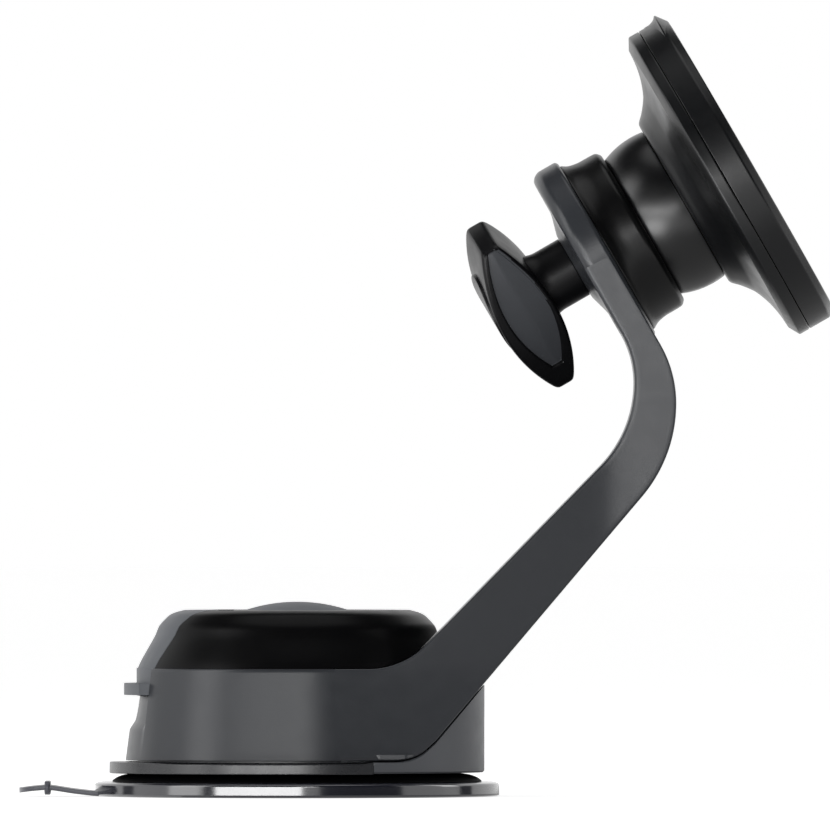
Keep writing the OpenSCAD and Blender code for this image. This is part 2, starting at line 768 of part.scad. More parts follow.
module top_cap() {
    recess_w = lever_w + lever_gap;
    floor_d = lever_t + floor_gap;
    color([0.03, 0.03, 0.035]) difference() {
        union() {
            difference() {
                dome_solid(0);
                difference() {
                    dome_solid(dome_wall);
                    strip(-pad_r, -lever_pin_x, recess_w + wall_t);
                }
                dome_solid(floor_d + floor_t);
            }
            translate([0, 0, band_top - spigot_h / 2])
                tube(recess_r, recess_r - spigot_t, spigot_h / 2 + wall_t);
            intersection() {
                translate([0, 0, band_top - spigot_h]) tube(recess_r, recess_r - spigot_t, spigot_h);
                strip(-pad_r, 0, recess_w + wall_t);
            }
        }
        difference() {
            translate([-pad_r, -recess_w, band_top - spigot_h / 3])
                cube([pad_r - lever_pin_x + 2 * gap, 2 * recess_w, pad_r]);
            dome_solid(floor_d);
        }
        translate([-lever_pin_x, 0, lever_pin_z]) along_y(swing_r, recess_w);
        translate([-lever_pin_x, 0, lever_pin_z]) along_y(lever_pin_r + run, ear_y);
        difference() {
            arm_outline(gap);
            strip(-pad_r, foot_x - foot_fillet / 2, pad_r);
        }
        // Room for the housing's screw bosses and for the chassis ears
        base_screw_holes(boss_r + gap, 0, plate_z + plate_t + boss_h + 2 * gap);
        for (s = [-1, 1]) {
            translate([-lever_pin_x, s * (ear_y + ear_t / 2), lever_pin_z])
                along_y(ear_r + gap, (ear_t + gap) / 2);
        }
    }
}

module cap_badge() {
    crown = sagitta_r(badge_r, badge_h);
    half = asin(badge_r / crown);
    color([0.35, 0.36, 0.38]) rotate_extrude() polygon(concat(
        [[0, dome_top]],
        arc([0, dome_top + badge_h - crown], crown, 90 - half, 90, bend_steps)));
}

module lock_lever() {
    color([0.45, 0.46, 0.48]) difference() {
        union() {
            intersection() {
                dome_shell(0, lever_t);
                strip(-pad_r, -lever_pin_x, lever_w);
            }
            intersection() {
                translate([0, 0, finger_top - over / 2])
                    tube(band_top_r - gap * 2, recess_r + gap, front_wall_h + over / 2);
                strip(-pad_r, 0, lever_w);
            }
            intersection() {
                translate([0, 0, finger_z]) tube(finger_r, recess_r + gap, finger_t);
                strip(-pad_r, 0, lever_w);
            }
            translate([-lever_pin_x, 0, lever_pin_z]) along_y(hub_r, lever_w);
        }
        // Room for the stem's yoke in the middle of the hub
        translate([-lever_pin_x - hub_r + lever_t, -yoke_w - yoke_gap, lever_pin_z - hub_r - over])
            cube([2 * hub_r, 2 * (yoke_w + yoke_gap), 2 * hub_r + over - lever_t * 0.68]);
        translate([-lever_pin_x, -yoke_w - yoke_gap, lever_pin_z - hub_r - over])
            cube([2 * hub_r, 2 * (yoke_w + yoke_gap), 2 * hub_r + 2 * over]);
        translate([-lever_pin_x, 0, lever_pin_z]) along_y(lever_pin_r + run, pad_r);
        translate([cam_x, 0, cam_z]) along_y(cam_r + run / 2, cam_half + gap);
    }
}

// One short pin on each side, clear of the cam pin in the middle
module lever_pins() {
    inner = cam_half + gap;
    color([0.75, 0.76, 0.78]) for (s = [-1, 1]) {
        translate([-lever_pin_x, s * (inner + ear_y + ear_t) / 2, lever_pin_z])
            along_y(lever_pin_r, (ear_y + ear_t - inner) / 2);
    }
}

module cam_pin() {
    color([0.75, 0.76, 0.78]) translate([cam_x, 0, cam_z]) along_y(cam_r, cam_half);
}

module ball_socket() {
    color([0.1, 0.1, 0.11]) at_head() difference() {
        union() {
            translate([0, 0, -socket_bottom]) cylinder(h = socket_bottom - socket_z, r = socket_seat_r);
            rotate_extrude() polygon(concat([[0, -socket_z]],
                [for (s = socket_shares) [socket_r * s[1], -socket_z + (socket_z - socket_rim) * s[0]]],
                [[0, -socket_rim]]));
        }
        sphere(r = ball_r + ball_gap);
        translate([0, 0, -socket_bottom - over]) cylinder(h = socket_bottom, r = bolt_hole_r);
    }
}

module ball_shell() {
    color([0.06, 0.06, 0.07]) at_head() difference() {
        union() {
            intersection() {
                sphere(r = ball_r);
                translate([0, 0, -2 * ball_r + ball_front_t]) cylinder(h = 2 * ball_r, r = 2 * ball_r);
            }
            cylinder(h = head_hub_z + gap / 2, r = stub_r);
        }
        difference() {
            sphere(r = ball_in_r);
            cylinder(h = ball_r, r = ball_r);
        }
        translate([0, 0, -2 * ball_r]) cylinder(h = 2 * ball_r - ball_open_r / 2, r = ball_open_r);
        translate([0, 0, ball_front_t]) cylinder(h = head_hub_z, r = ball_screw_r + run / 2);
    }
}

module clamp_bolt() {
    nut_flat = dome_nut_r * cos(nut_angle);
    color([0.7, 0.71, 0.73]) at_head() {
        translate([0, 0, -wing_back + wing_d / 4])
            cylinder(h = wing_back - wing_d / 4 - nut_flat - gap, r = bolt_r);
        translate([0, 0, -nut_flat - gap - bolt_head_t])
            cylinder(h = bolt_head_t, r = bolt_head_r, $fn = 6);
    }
}

module clamp_dome() {
    nut_flat = dome_nut_r * cos(nut_angle);
    color([0.55, 0.56, 0.58]) at_head() difference() {
        intersection() {
            sphere(r = dome_nut_r);
            translate([0, 0, -2 * ball_r - nut_flat]) cylinder(h = 2 * ball_r, r = ball_r);
        }
        translate([0, 0, -2 * ball_r]) cylinder(h = 2 * ball_r, r = bolt_hole_r);
        translate([0, 0, -nut_flat - gap - bolt_head_t]) cylinder(h = ball_r, r = bolt_head_r + gap);
    }
}

module friction_ring() {
    out_r = friction_r;
    in_r = friction_r - friction_t;
    color([0.5, 0.42, 0.3]) at_head() rotate_extrude() polygon(concat(
        arc([0, 0], out_r, -90 + friction_from, -90 + friction_to, bend_steps),
        arc([0, 0], in_r, -90 + friction_to, -90 + friction_from, bend_steps)));
}

module ball_washer() {
    color([0.72, 0.73, 0.75]) at_head() translate([0, 0, washer_z])
        tube(washer_r, ball_screw_r + gap, washer_t);
}

module ball_screw() {
    color([0.6, 0.6, 0.62]) at_head() {
        translate([0, 0, ball_front_t + gap])
            cylinder(h = washer_z + washer_t - ball_front_t, r = ball_screw_r);
        translate([0, 0, washer_z + washer_t])
            cylinder(h = ball_screw_head_t, r = ball_screw_head_r);
    }
}

module thrust_washer() {
    color([0.05, 0.05, 0.05]) at_head() translate([0, 0, -knob_z - thrust_t])
        tube(neck_r - gap * 3, bolt_hole_r, thrust_t);
}

module wing_knob() {
    back_arc = sagitta_r(wing_l, (wing_d - wing_tip_d) / 2);
    side_arc = sagitta_r(wing_l, wing_w - wing_tip_w);
    dish_r = sagitta_r(wing_d * 0.42, dish_d);
    color([0.16, 0.16, 0.18]) at_head() rotate([0, 0, wing_turn]) difference() {
        union() {
            translate([0, 0, -wing_z - wing_d / 4]) cylinder(h = neck_l + wing_d / 4, r = neck_r);
            intersection() {
                rotate([90, 0, 0]) linear_extrude(height = 4 * wing_w, center = true) intersection() {
                    translate([0, -wing_back + back_arc]) circle(r = back_arc);
                    translate([0, -wing_z - back_arc]) circle(r = back_arc);
                    translate([-wing_l, -wing_back]) square([2 * wing_l, wing_d]);
                }
                translate([0, 0, -wing_back]) linear_extrude(height = wing_d) intersection() {
                    translate([0, side_arc - wing_w]) circle(r = side_arc);
                    translate([0, wing_w - side_arc]) circle(r = side_arc);
                }
            }
        }
        for (s = [-1, 1]) {
            translate([0, s * (wing_w + dish_r - dish_d), -wing_z - wing_d / 2]) sphere(r = dish_r);
        }
        translate([0, 0, -wing_back + wing_d / 4 - gap]) cylinder(h = wing_back, r = bolt_r + gap);
        translate([0, 0, -neck_z - brass_l]) cylinder(h = brass_l + over, r = brass_r + run / 2);
        translate([0, 0, -wing_back - over]) cylinder(h = over + knob_cap_h * 4, r = knob_cap_r + gap);
    }
}

module knob_insert() {
    color([0.78, 0.62, 0.3]) at_head() translate([0, 0, -neck_z - brass_l])
        tube(brass_r, bolt_r + run, brass_l);
}

module knob_cap() {
    color([0.2, 0.2, 0.22]) at_head() translate([0, 0, -wing_back - knob_cap_h])
        cylinder(h = knob_cap_h * 5, r = knob_cap_r);
}

module head_back() {
    color([0.12, 0.12, 0.13]) at_head() difference() {
        rotate_extrude() polygon(concat(
            [[0, lip_z + gap / 2], [lip_r, lip_z + gap / 2]],
            [for (s = flare_shares) [lerp(lip_r, head_r, s[1]), lip_z + gap / 2 + flare_h * s[0]]],
            [[head_r, seam_z], [0, seam_z]]));
        // Hollow between the hub and the outer wall
        rotate_extrude() polygon([
            [head_hub_r, seam_z + over], [head_hub_r, lip_z + 1.25 * head_wall],
            [lip_r + head_wall * 0.7, lip_z + 1.25 * head_wall],
            [lerp(lip_r, head_r, 0.32), lip_z + flare_h * 0.82],
            [lerp(lip_r, head_r, 0.53), lip_z + flare_h + head_wall * 0.15],
            [head_r - head_wall * 1.1, lip_z + flare_h + head_wall * 0.4],
            [head_r - head_wall * 1.1, seam_z + over]]);
        translate([0, 0, head_hub_z]) cylinder(h = ball_r, r = head_hub_r + gap);
        cylinder(h = ball_r, r = stub_r + run);
    }
    color([0.12, 0.12, 0.13]) at_head() at_head_screws() difference() {
        translate([0, 0, head_boss_z]) cylinder(h = seam_z + gap - head_boss_z, r = head_boss_r);
        translate([0, 0, head_boss_z + head_wall / 4]) cylinder(h = seam_z, r = head_screw_r);
    }
}

module head_front() {
    color([0.09, 0.09, 0.1]) at_head() {
        difference() {
            union() {
                translate([0, 0, seam_z]) cylinder(h = side_h, r = head_r);
                translate([0, 0, seam_z + side_h])
                    cylinder(h = bevel_h, r1 = head_r, r2 = head_r - bevel_in);
                intersection() {
                    translate([0, 0, seam_z + side_h - lip_t]) cylinder(h = lip_t, r = head_r + lip_out);
                    translate([-2 * head_r, -lip_w / 2, 0]) cube([2 * head_r, lip_w, 2 * front_z]);
                }
            }
            translate([0, 0, front_z - front_pad_t])
                cylinder(h = over + front_pad_t, r = front_pad_r + gap);
            translate([0, 0, seam_z - over])
                cylinder(h = magnet_z + over - seam_z, r = head_r - head_wall - gap);
            translate([0, 0, magnet_z - over])
                tube(magnet_r + gap, magnet_in_r - gap, magnet_t + over);
            at_head_screws() {
                cylinder(h = 2 * front_z, r = head_screw_r + gap);
                translate([0, 0, front_z - front_pad_t - head_screw_head_t - gap])
                    cylinder(h = front_z, r = head_screw_head_r + gap);
            }
        }
    }
}

module shield_plate() {
    color([0.65, 0.66, 0.68]) at_head() difference() {
        translate([0, 0, shield_z]) cylinder(h = shield_t, r = head_r - head_wall - 2 * gap);
        at_head_screws() cylinder(h = 2 * front_z, r = head_screw_r + gap);
    }
}

module magnet_ring() {
    span = 360 / magnet_n - magnet_gap;
    color([0.7, 0.7, 0.72]) at_head() for (i = [0:magnet_n - 1]) {
        rotate([0, 0, 360 * i / magnet_n - span / 2]) translate([0, 0, magnet_z])
            rotate_extrude(angle = span)
                translate([magnet_in_r, 0]) square([magnet_r - magnet_in_r, magnet_t - gap]);
    }
}

module head_screws() {
    top = front_z - front_pad_t - gap;
    color([0.6, 0.6, 0.62]) at_head() at_head_screws() {
        translate([0, 0, top - head_screw_head_t])
            cylinder(h = head_screw_head_t, r = head_screw_head_r);
        translate([0, 0, lip_z + flare_h])
            cylinder(h = top - lip_z - flare_h, r = head_screw_r - thread_fit);
    }
}

module front_pad() {
    color([0.14, 0.14, 0.15]) at_head() translate([0, 0, front_z - front_pad_t])
        cylinder(h = front_pad_t, r = front_pad_r);
}

sticky_pad();
suction_cup();
cup_insert();
pull_stem();
return_spring();
base_ring();
rear_block();
chassis();
base_screws();
arm_housing();
arm_back_cover();
top_cap();
cap_badge();
lock_lever();
lever_pins();
cam_pin();
ball_socket();
ball_shell();
clamp_bolt();
clamp_dome();
friction_ring();
ball_washer();
ball_screw();
thrust_washer();
wing_knob();
knob_insert();
knob_cap();
head_back();
head_front();
shield_plate();
magnet_ring();
head_screws();
front_pad();
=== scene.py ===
"""Dressed model of a suction phone holder: gel base, capped housing, curved arm, clamped half ball
and magnetic head. Shapes are worked out in millimetres and put into the meshes in metres."""

import bmesh
import bpy
import numpy as np
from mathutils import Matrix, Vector


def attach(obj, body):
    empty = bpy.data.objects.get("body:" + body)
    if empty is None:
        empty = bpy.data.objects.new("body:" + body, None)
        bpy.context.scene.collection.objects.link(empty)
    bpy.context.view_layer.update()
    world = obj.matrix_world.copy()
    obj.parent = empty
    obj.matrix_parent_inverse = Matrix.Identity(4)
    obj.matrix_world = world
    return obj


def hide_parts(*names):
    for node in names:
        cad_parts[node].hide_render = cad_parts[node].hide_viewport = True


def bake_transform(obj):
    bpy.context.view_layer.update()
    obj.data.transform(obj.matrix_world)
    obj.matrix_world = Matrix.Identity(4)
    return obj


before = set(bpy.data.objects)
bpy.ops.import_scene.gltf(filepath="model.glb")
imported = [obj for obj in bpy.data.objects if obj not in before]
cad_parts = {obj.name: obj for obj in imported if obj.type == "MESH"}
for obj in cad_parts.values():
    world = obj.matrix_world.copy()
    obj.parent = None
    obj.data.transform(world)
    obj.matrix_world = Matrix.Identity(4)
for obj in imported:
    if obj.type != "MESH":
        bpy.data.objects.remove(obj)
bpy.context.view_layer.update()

MM = 0.001
TURN = 2 * np.pi

# Within this distance the points of a mesh are one, and shorter edges go. Both are in metres
weld, speck = 2e-6, 1e-6

# Rounded corners: points on each, and the most of a side that one may take. The point that keeps a flat
# stretch flat lies this far from it, or this share of the side. Points of a line closer than this are one
corner_steps, corner_share = 5, 0.45
flat_step, flat_share, same_point = 0.08, 0.04, 1e-5

# Radii and heights of the base. The lean is what upright sides lose in radius for each millimetre of height
side_lean = 0.026
pad_r, pad_t, pad_bevel = 35.2, 2.57, 0.9
tab_half, tab_tip_x, tab_tip_l, tab_t = 6.5, -48.3, 3.3, 0.92
rib_x, rib_z, rib_half, rib_w, rib_h = -43.35, 1.5, 6.85, 1.1, 2.4
cup_z, ring_z, ring_t = 2.6, 4.03, 2.0
ring_r, ring_in_r = 32.65, 20.0
band_z, band_top = 6.3, 22.3
band_r, band_top_r, band_in_r = 29.8, 28.2, 25.8
block_x, block_r, block_wall, block_z = 13.4, 32.6, 2.7, 4.18
dome_top, badge_r, badge_h = 32.4, 8.96, 1.44
# Gap where two pieces meet, and the roundness of the tab's and the rib's sections: 1 is an ellipse, 0 a box
seam, boxy = 0.15, 0.3

# The lever's half width, the gap at its sides, and the height of its lower edge, over the finger scoop
lever_half, lever_gap, finger_z = 12.4, 0.25, 17.65

# The shadow gap between rim plate and band: its two ends along X, the length over which it opens at each,
# and how far plate and band draw back
relief_from, relief_to, relief_in, relief_out = -27.5, 13.2, 8, 2
plate_relief, band_relief = 0.22, 0.12
# Inside this radius the band's foot goes down to the rim plate and closes the gap
lip_r = 27.6

# Lifting cup: its top and its radius
crown_z, cup_r = 7.0, 32.1

# Return spring: its radius, the wire's, its turns, the heights of the wire's ends, and the heights between
# which it passes from the stem to the housing
spring_r, wire_r, spring_turns, spring_z, guide_z = 6.2, 0.6, 4, 9.65, 16.88
spring_foot, spring_head = 9.0, 17.53

# Arm: the start of its foot along X, the fillet over it, the end of its lower line and a place past it
foot_x, foot_c, foot_r, foot_end, foot_past = 6.6, (12.5, 36.3), 14.0, (24.1, 9.85), 40
# Slopes of the arm's two edges in degrees, and the centres and radii of their bends in the XZ plane
slope_front, slope_back = 44.4, 40.1
front_low_c, front_low_r = (37.9, 71.9), 20.7
front_high_c, front_high_r = (41.7, 71.9), 16.9
back_low_c, back_low_r = (40.85, 68.3), 25.0
back_high_c, back_high_r = (45.45, 68.3), 20.4
# The joint plate's two faces and radius, and where the arm's edges run into the faces and end on them
plate_back, plate_front, plate_r = -18.45, -13.5, 17.4
back_join, front_join, join_end = 14.23, 19.22, 0.5
# Neck point of the plan: the arm's straight sides run through it and touch the band
neck_x, neck_w, neck_soft = 54.0, 17.2, 1.0
# From this height on, over this much more, the arm takes the joint plate's width
widen_z, widen_by = 58, 20
# The band reaches this far into the arm's sides, in radians
band_overlap = 0.04

# Depth of the room in the arm's lower face for the lifted cup and for the tilted ball. The first ends at a
# row, the second begins some rows past the joint plate's start, and both slope over a few rows and are a few
# points wide on each side
cup_room, ball_room = 4.5, 1.8
cup_rows, ball_rows, room_slope, room_points = 8, 9, 2, 4

# Small shelf over the rear block: its end along X, the height of its top, and its own height. Its face stands
# out by the first amount, and by a share of what the arm's side draws in
ledge_end, ledge_z, ledge_fall = 20.4, 7.5, 0.95
ledge_out, ledge_turn = 0.1, 0.75

# The ball's centre, and the head's own axes: out of the face, and down along the face
head_rise = 30.0
ball = np.array([65.2, 0.0, 101.9])
out_axis = np.array([np.cos(np.radians(head_rise)), 0.0, np.sin(np.radians(head_rise))])
down_axis = np.array([np.sin(np.radians(head_rise)), 0.0, -np.cos(np.radians(head_rise))])
ball_r, ball_wall = 14.56, 2.26
# The ball's flat front, the radius and end of the stub axle on it, and the screw's bore
ball_front, stub_r, stub_end, screw_r = 2.34, 5.0, 8.37, 1.52

# Head: its radius, its seam, the end of its side and its face, and the hub that turns on the stub
head_r, seam_z, side_end, face_z = 29.8, 10.49, 14.49, 15.83
hub_bore, hub_r, hub_z, shell_wall = 5.05, 9.5, 8.3, 2.2
# Lip at the head's top: half its angle, and how far its ends sink into the ring and go back
tip_angle, tip_sink, tip_back = 0.62, 1.7, 0.3

# Wing knob: its turn in degrees, its middle along the axis, its half length, its shift along itself, and the
# rounding of its edges. Half its depth and width in the middle and at the tips, and the share of its section
# that is left at its very ends
wing_turn, wing_mid, wing_half, wing_shift, wing_edge = 28.0, -31.05, 15.2, 1.13, 0.7
wing_d, wing_tip_d, wing_w, wing_tip_w, wing_end = 5.3, 1.6, 8.2, 6.0, 0.86
# Lens-shaped panel in each broad side: its middle along the wing, its half length and its arc's, half its
# width and its middle across. Run of its wall, its depth, the slope of its ridge and the run of its ends
dish_at, dish_half, dish_arc, dish_reach, dish_mid = -1.2, 12.7, 14.8, 4.2, 0.45
dish_wall, dish_step, dish_roof, dish_end = 0.3, 0.6, 0.12, 0.5
# Button in the wing's back, and the neck with its end over the thrust washer
button_r, button_h, neck_r, neck_end = 7.6, 0.25, 5.57, -19.64


def rounded(points, cut):
    """Each inner corner of a line becomes a quadratic curve that starts and ends at the distance cut from it.
    One more point a little way before and after each curve keeps the flat stretches flat when shaded."""
    p = np.asarray(points, float)
    cut = np.broadcast_to(np.asarray(cut, float), len(p) - 2)
    a, b, c = p[:-2], p[1:-1], p[2:]
    to_a, to_c = np.linalg.norm(a - b, axis=1), np.linalg.norm(c - b, axis=1)
    d = np.minimum(cut, corner_share * np.minimum(to_a, to_c))
    s = b + (a - b) * (d / to_a)[:, None]
    e = b + (c - b) * (d / to_c)[:, None]
    t = np.linspace(0, 1, corner_steps)[None, :, None]
    curve = (1 - t) ** 2 * s[:, None] + 2 * t * (1 - t) * b[:, None] + t * t * e[:, None]
    before = s + (a - b) * np.minimum(flat_share, flat_step / to_a)[:, None]
    after = e + (c - b) * np.minimum(flat_share, flat_step / to_c)[:, None]
    curve = np.concatenate([before[:, None], curve, after[:, None]], axis=1)
    line = np.vstack([p[:1], curve.reshape(-1, p.shape[1]), p[-1:]])
    return line[np.r_[True, np.linalg.norm(np.diff(line, axis=0), axis=1) > same_point]]


def loop(points, cut):
    """A closed line with rounded corners: the line is opened half way along its first side."""
    p = np.asarray(points, float)
    middle = (p[:1] + p[1:2]) / 2
    return rounded(np.vstack([middle, p[1:], p[:1], middle]), cut)[:-1]


def smooth(points, count):
    """Catmull-Rom curve through the points, with count steps between two of them."""
    p = np.asarray(points, float)
    p = np.vstack([2 * p[0] - p[1], p, 2 * p[-1] - p[-2]])
    t = np.linspace(0, 1, count, endpoint=False)[None, :, None]
    a, b, c, d = p[:-3, None], p[1:-2, None], p[2:-1, None], p[3:, None]
    curve = 0.5 * (2 * b + (c - a) * t + (2 * a - 5 * b + 4 * c - d) * t ** 2
                   + (3 * b - a - 3 * c + d) * t ** 3)
    return np.vstack([curve.reshape(-1, p.shape[1]), p[-2:-1]])


def arc(centre, r, a, b, count):
    """Points on a circle from angle a to angle b, in degrees."""
    angle = np.radians(np.linspace(a, b, count))[:, None]
    return np.asarray(centre) + r * np.hstack([np.cos(angle), np.sin(angle)])


def ease(v):
    """Smooth step from 0 to 1 over v from 0 to 1: 3 v squared less 2 v cubed."""
    v = np.clip(v, 0, 1)
    return v * v * (3 - 2 * v)


def turned(profile, count=192):
    """A (radius, height) line turned about +Z: x = r cos a, y = r sin a, z = h."""
    a = np.linspace(0, TURN, count, endpoint=False)
    r, h = profile[:, :1], profile[:, 1:]
    return np.stack([r * np.cos(a), r * np.sin(a), h + 0 * a], axis=-1)


def at_head(grid):
    """From the head's own frame, whose +Z leaves the face, to the row frame."""
    return (ball + grid[..., :1] * down_axis + grid[..., 1:2] * np.array([0.0, 1.0, 0.0])
            + grid[..., 2:] * out_axis)


def head_xz(n, t):
    """The place in the XZ plane that lies n along the head's axis and t down along its face."""
    return ball[[0, 2]] + n * out_axis[[0, 2]] + t * down_axis[[0, 2]]


def power(angle, share):
    """Cosine and sine of the angle raised to a share with their signs kept, for a rounded box."""
    c, s = np.cos(angle), np.sin(angle)
    return np.sign(c) * np.abs(c) ** share, np.sign(s) * np.abs(s) ** share


def resample(line, count):
    """Points at equal distances along a line."""
    at = np.r_[0, np.cumsum(np.linalg.norm(np.diff(line, axis=0), axis=1))]
    want = np.linspace(0, at[-1], count)
    return np.stack([np.interp(want, at, line[:, 0]), np.interp(want, at, line[:, 1])], -1)


# How a grid closes, as wrap_u, wrap_v and ends: a line turned from axis to axis, a closed line turned, a bar
# of closed sections with its two ends, and a closed line carried from one end face to the other
AXLE, RING = (False, True, ""), (True, True, "")
BAR, WALL = (False, True, "u"), (True, False, "v")


def faces_of(grid, wrap_u, wrap_v, ends):
    """Four-cornered faces between neighbouring grid points, and one face over each open end."""
    rows, cols = grid.shape[:2]
    index = np.arange(rows * cols).reshape(rows, cols)
    if wrap_u:
        index = np.vstack([index, index[:1]])
    if wrap_v:
        index = np.hstack([index, index[:, :1]])
    quads = np.stack([index[:-1, :-1], index[1:, :-1], index[1:, 1:], index[:-1, 1:]], -1)
    caps = {"u": [index[0, :cols], index[-1, :cols]],
            "v": [index[:rows, 0], index[:rows, -1]]}.get(ends, [])
    return quads.reshape(-1, 4).tolist() + [c.tolist() for c in caps]


def body_of_grids(name, parts):
    """Mesh of several grids, each with the way it closes. Doubles are merged and the faces point outwards."""
    bm = bmesh.new()
    for grid, closing in parts:
        part = bpy.data.meshes.new("part")
        part.from_pydata((grid.reshape(-1, 3) * MM).tolist(), [], faces_of(grid, *closing))
        bm.from_mesh(part)
        bpy.data.meshes.remove(part)
    bmesh.ops.remove_doubles(bm, verts=bm.verts, dist=weld)
    bmesh.ops.dissolve_degenerate(bm, edges=bm.edges, dist=speck)
    bmesh.ops.recalc_face_normals(bm, faces=bm.faces)
    mesh = bpy.data.meshes.new(name)
    bm.to_mesh(mesh)
    bm.free()
    return mesh


def piece(name, mesh, body, finish, stands_for, crease=32, blended=None):
    """Puts a mesh in the scene as one piece of the holder. Edges that turn by more than the crease, in
    degrees, look sharp."""
    obj = bpy.data.objects.new(name, mesh)
    bpy.context.scene.collection.objects.link(obj)
    mesh.materials.clear()
    mesh.materials.append(finish)
    mesh.shade_smooth()
    mesh.set_sharp_from_angle(angle=np.radians(crease))
    if blended:
        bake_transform(obj)
    else:
        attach(obj, body)
    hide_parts(*stands_for)
    return obj


def grid_piece(name, parts, body, finish, node, crease=32, blended=None):
    """A piece made of grids that stands for one CAD node."""
    return piece(name, body_of_grids(name, parts), body, finish, (node,), crease, blended)


def softened(name, node, body, finish, edge):
    """Copy of a CAD node with its loose triangles joined, faces that are flat within an angle made whole, and
    its edges from another angle on rounded by the width edge. The angles are in degrees."""
    flat_within, edge_from = 0.4, 40
    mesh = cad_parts[node].data.copy()
    mesh.name = name
    bm = bmesh.new()
    bm.from_mesh(mesh)
    bmesh.ops.remove_doubles(bm, verts=bm.verts, dist=weld)
    bmesh.ops.dissolve_limit(bm, angle_limit=np.radians(flat_within), verts=bm.verts, edges=bm.edges)
    bm.to_mesh(mesh)
    bm.free()
    if "custom_normal" in mesh.attributes:
        mesh.attributes.remove(mesh.attributes["custom_normal"])
    obj = piece(name, mesh, body, finish, (node,))
    bevel = obj.modifiers.new("edge", "BEVEL")
    bevel.width = edge * MM
    bevel.segments = 2
    bevel.limit_method = "ANGLE"
    bevel.angle_limit = np.radians(edge_from)
    bevel.harden_normals = True
    return obj


def colour(r, g, b):
    """Screen values from 0 to 255 as linear light."""
    share = np.array([r, g, b]) / 255
    return np.where(share > 0.04, ((share + 0.055) / 1.055) ** 2.4, share / 12.92)


# Finishes: the coat's roughness, what a rubbed streak takes from the roughness, how far that varies, and the
# stretches of the noise that streaks and roughness are read from
coat_rough, rubbed, rough_low, rough_high = 0.1, 0.08, 0.93, 1.07
streak_range, rough_range = (0.45, 0.85), (0.3, 0.7)


def finish(name, rgb, rough, specular=0.3, grain=0.3, depth=0.008, patch=12.0, vary=0.08, metal=0.0,
           coat=0.0, through=0.0, ior=1.5):
    """A finish: its colour varies a little over patches, its roughness over smaller ones with a few fine
    rubbed streaks, and a grain of the size grain and the height depth, in millimetres, roughens it."""
    mat = bpy.data.materials.new(name)
    mat.use_nodes = True
    nodes, links = mat.node_tree.nodes, mat.node_tree.links
    shader = nodes["Principled BSDF"]
    shader.inputs["Metallic"].default_value = metal
    shader.inputs["Specular IOR Level"].default_value = specular
    shader.inputs["IOR"].default_value = ior
    shader.inputs["Coat Weight"].default_value = coat
    shader.inputs["Coat Roughness"].default_value = coat_rough
    shader.inputs["Transmission Weight"].default_value = through
    place = nodes.new("ShaderNodeTexCoord")

    def noise(size, detail, stretch=(1, 1, 1)):
        """Noise over the object, whose patches are size millimetres wide before the stretch."""
        scale = nodes.new("ShaderNodeMapping")
        scale.inputs["Scale"].default_value = stretch
        links.new(place.outputs["Object"], scale.inputs["Vector"])
        n = nodes.new("ShaderNodeTexNoise")
        n.inputs["Scale"].default_value = 1 / (size * MM)
        n.inputs["Detail"].default_value = detail
        links.new(scale.outputs["Vector"], n.inputs["Vector"])
        return n.outputs["Fac"]

    def ranged(value, low, high, at_low=0.0, at_high=1.0):
        """Carries low to at_low and high to at_high, straight between them and level beyond."""
        span = nodes.new("ShaderNodeMapRange")
        span.inputs["From Min"].default_value = low
        span.inputs["From Max"].default_value = high
        span.inputs["To Min"].default_value = at_low
        span.inputs["To Max"].default_value = at_high
        links.new(value, span.inputs["Value"])
        return span.outputs["Result"]

    tint = nodes.new("ShaderNodeMix")
    tint.data_type = "RGBA"
    base = colour(*rgb)
    tint.inputs["A"].default_value = (*(base * (1 - vary)), 1)
    tint.inputs["B"].default_value = (*(base * (1 + vary)), 1)
    links.new(noise(patch, 3), tint.inputs["Factor"])
    links.new(tint.outputs["Result"], shader.inputs["Base Color"])
    streak = ranged(noise(patch, 2, (1, 1, 4)), *streak_range)
    total = nodes.new("ShaderNodeMath")
    total.operation = "MULTIPLY_ADD"
    total.inputs[1].default_value = -rubbed * rough
    links.new(streak, total.inputs[0])
    uneven = ranged(noise(patch / 4, 4), *rough_range, rough * rough_low, rough * rough_high)
    links.new(uneven, total.inputs[2])
    links.new(total.outputs["Value"], shader.inputs["Roughness"])
    bump = nodes.new("ShaderNodeBump")
    bump.inputs["Distance"].default_value = depth * MM
    links.new(noise(grain, 2), bump.inputs["Height"])
    links.new(bump.outputs["Normal"], shader.inputs["Normal"])
    return mat


gel = finish("clear_gel", (34, 35, 43), 0.13, 0.5, 6.0, 0.004, 20, 0.1, coat=0.5, through=0.06, ior=1.8)
tab_gel = finish("tab_gel", (88, 89, 96), 0.3, 0.25, 0.4, 0.004, 8, 0.06)
cup_rubber = finish("cup_rubber", (6, 6, 7), 0.6, 0.04, 0.3, 0.02)
insert_nylon = finish("insert_nylon", (190, 190, 184), 0.45)
turned_steel = finish("turned_steel", (150, 152, 156), 0.3, metal=1.0, depth=0.004)
black_steel = finish("black_steel", (34, 35, 37), 0.42, metal=1.0, depth=0.004)
zinc_plate = finish("zinc_plate", (160, 163, 168), 0.38, metal=1.0, depth=0.006, vary=0.15)
rim_plastic = finish("rim_plastic", (40, 41, 44), 0.28, 0.6, 0.35)
block_plastic = finish("block_plastic", (82, 84, 88), 0.42, 0.3, 0.35, 0.01)
housing_plastic = finish("housing_plastic", (52, 54, 58), 0.32, 0.42, 0.35, 0.008)
lever_plastic = finish("lever_plastic", (92, 95, 100), 0.42, 0.2, 0.35)
badge_plastic = finish("badge_plastic", (114, 117, 122), 0.5, 0.15, 0.35, 0.006)
cover_plastic = finish("cover_plastic", (46, 48, 51), 0.5, 0.2, 0.35, 0.012)
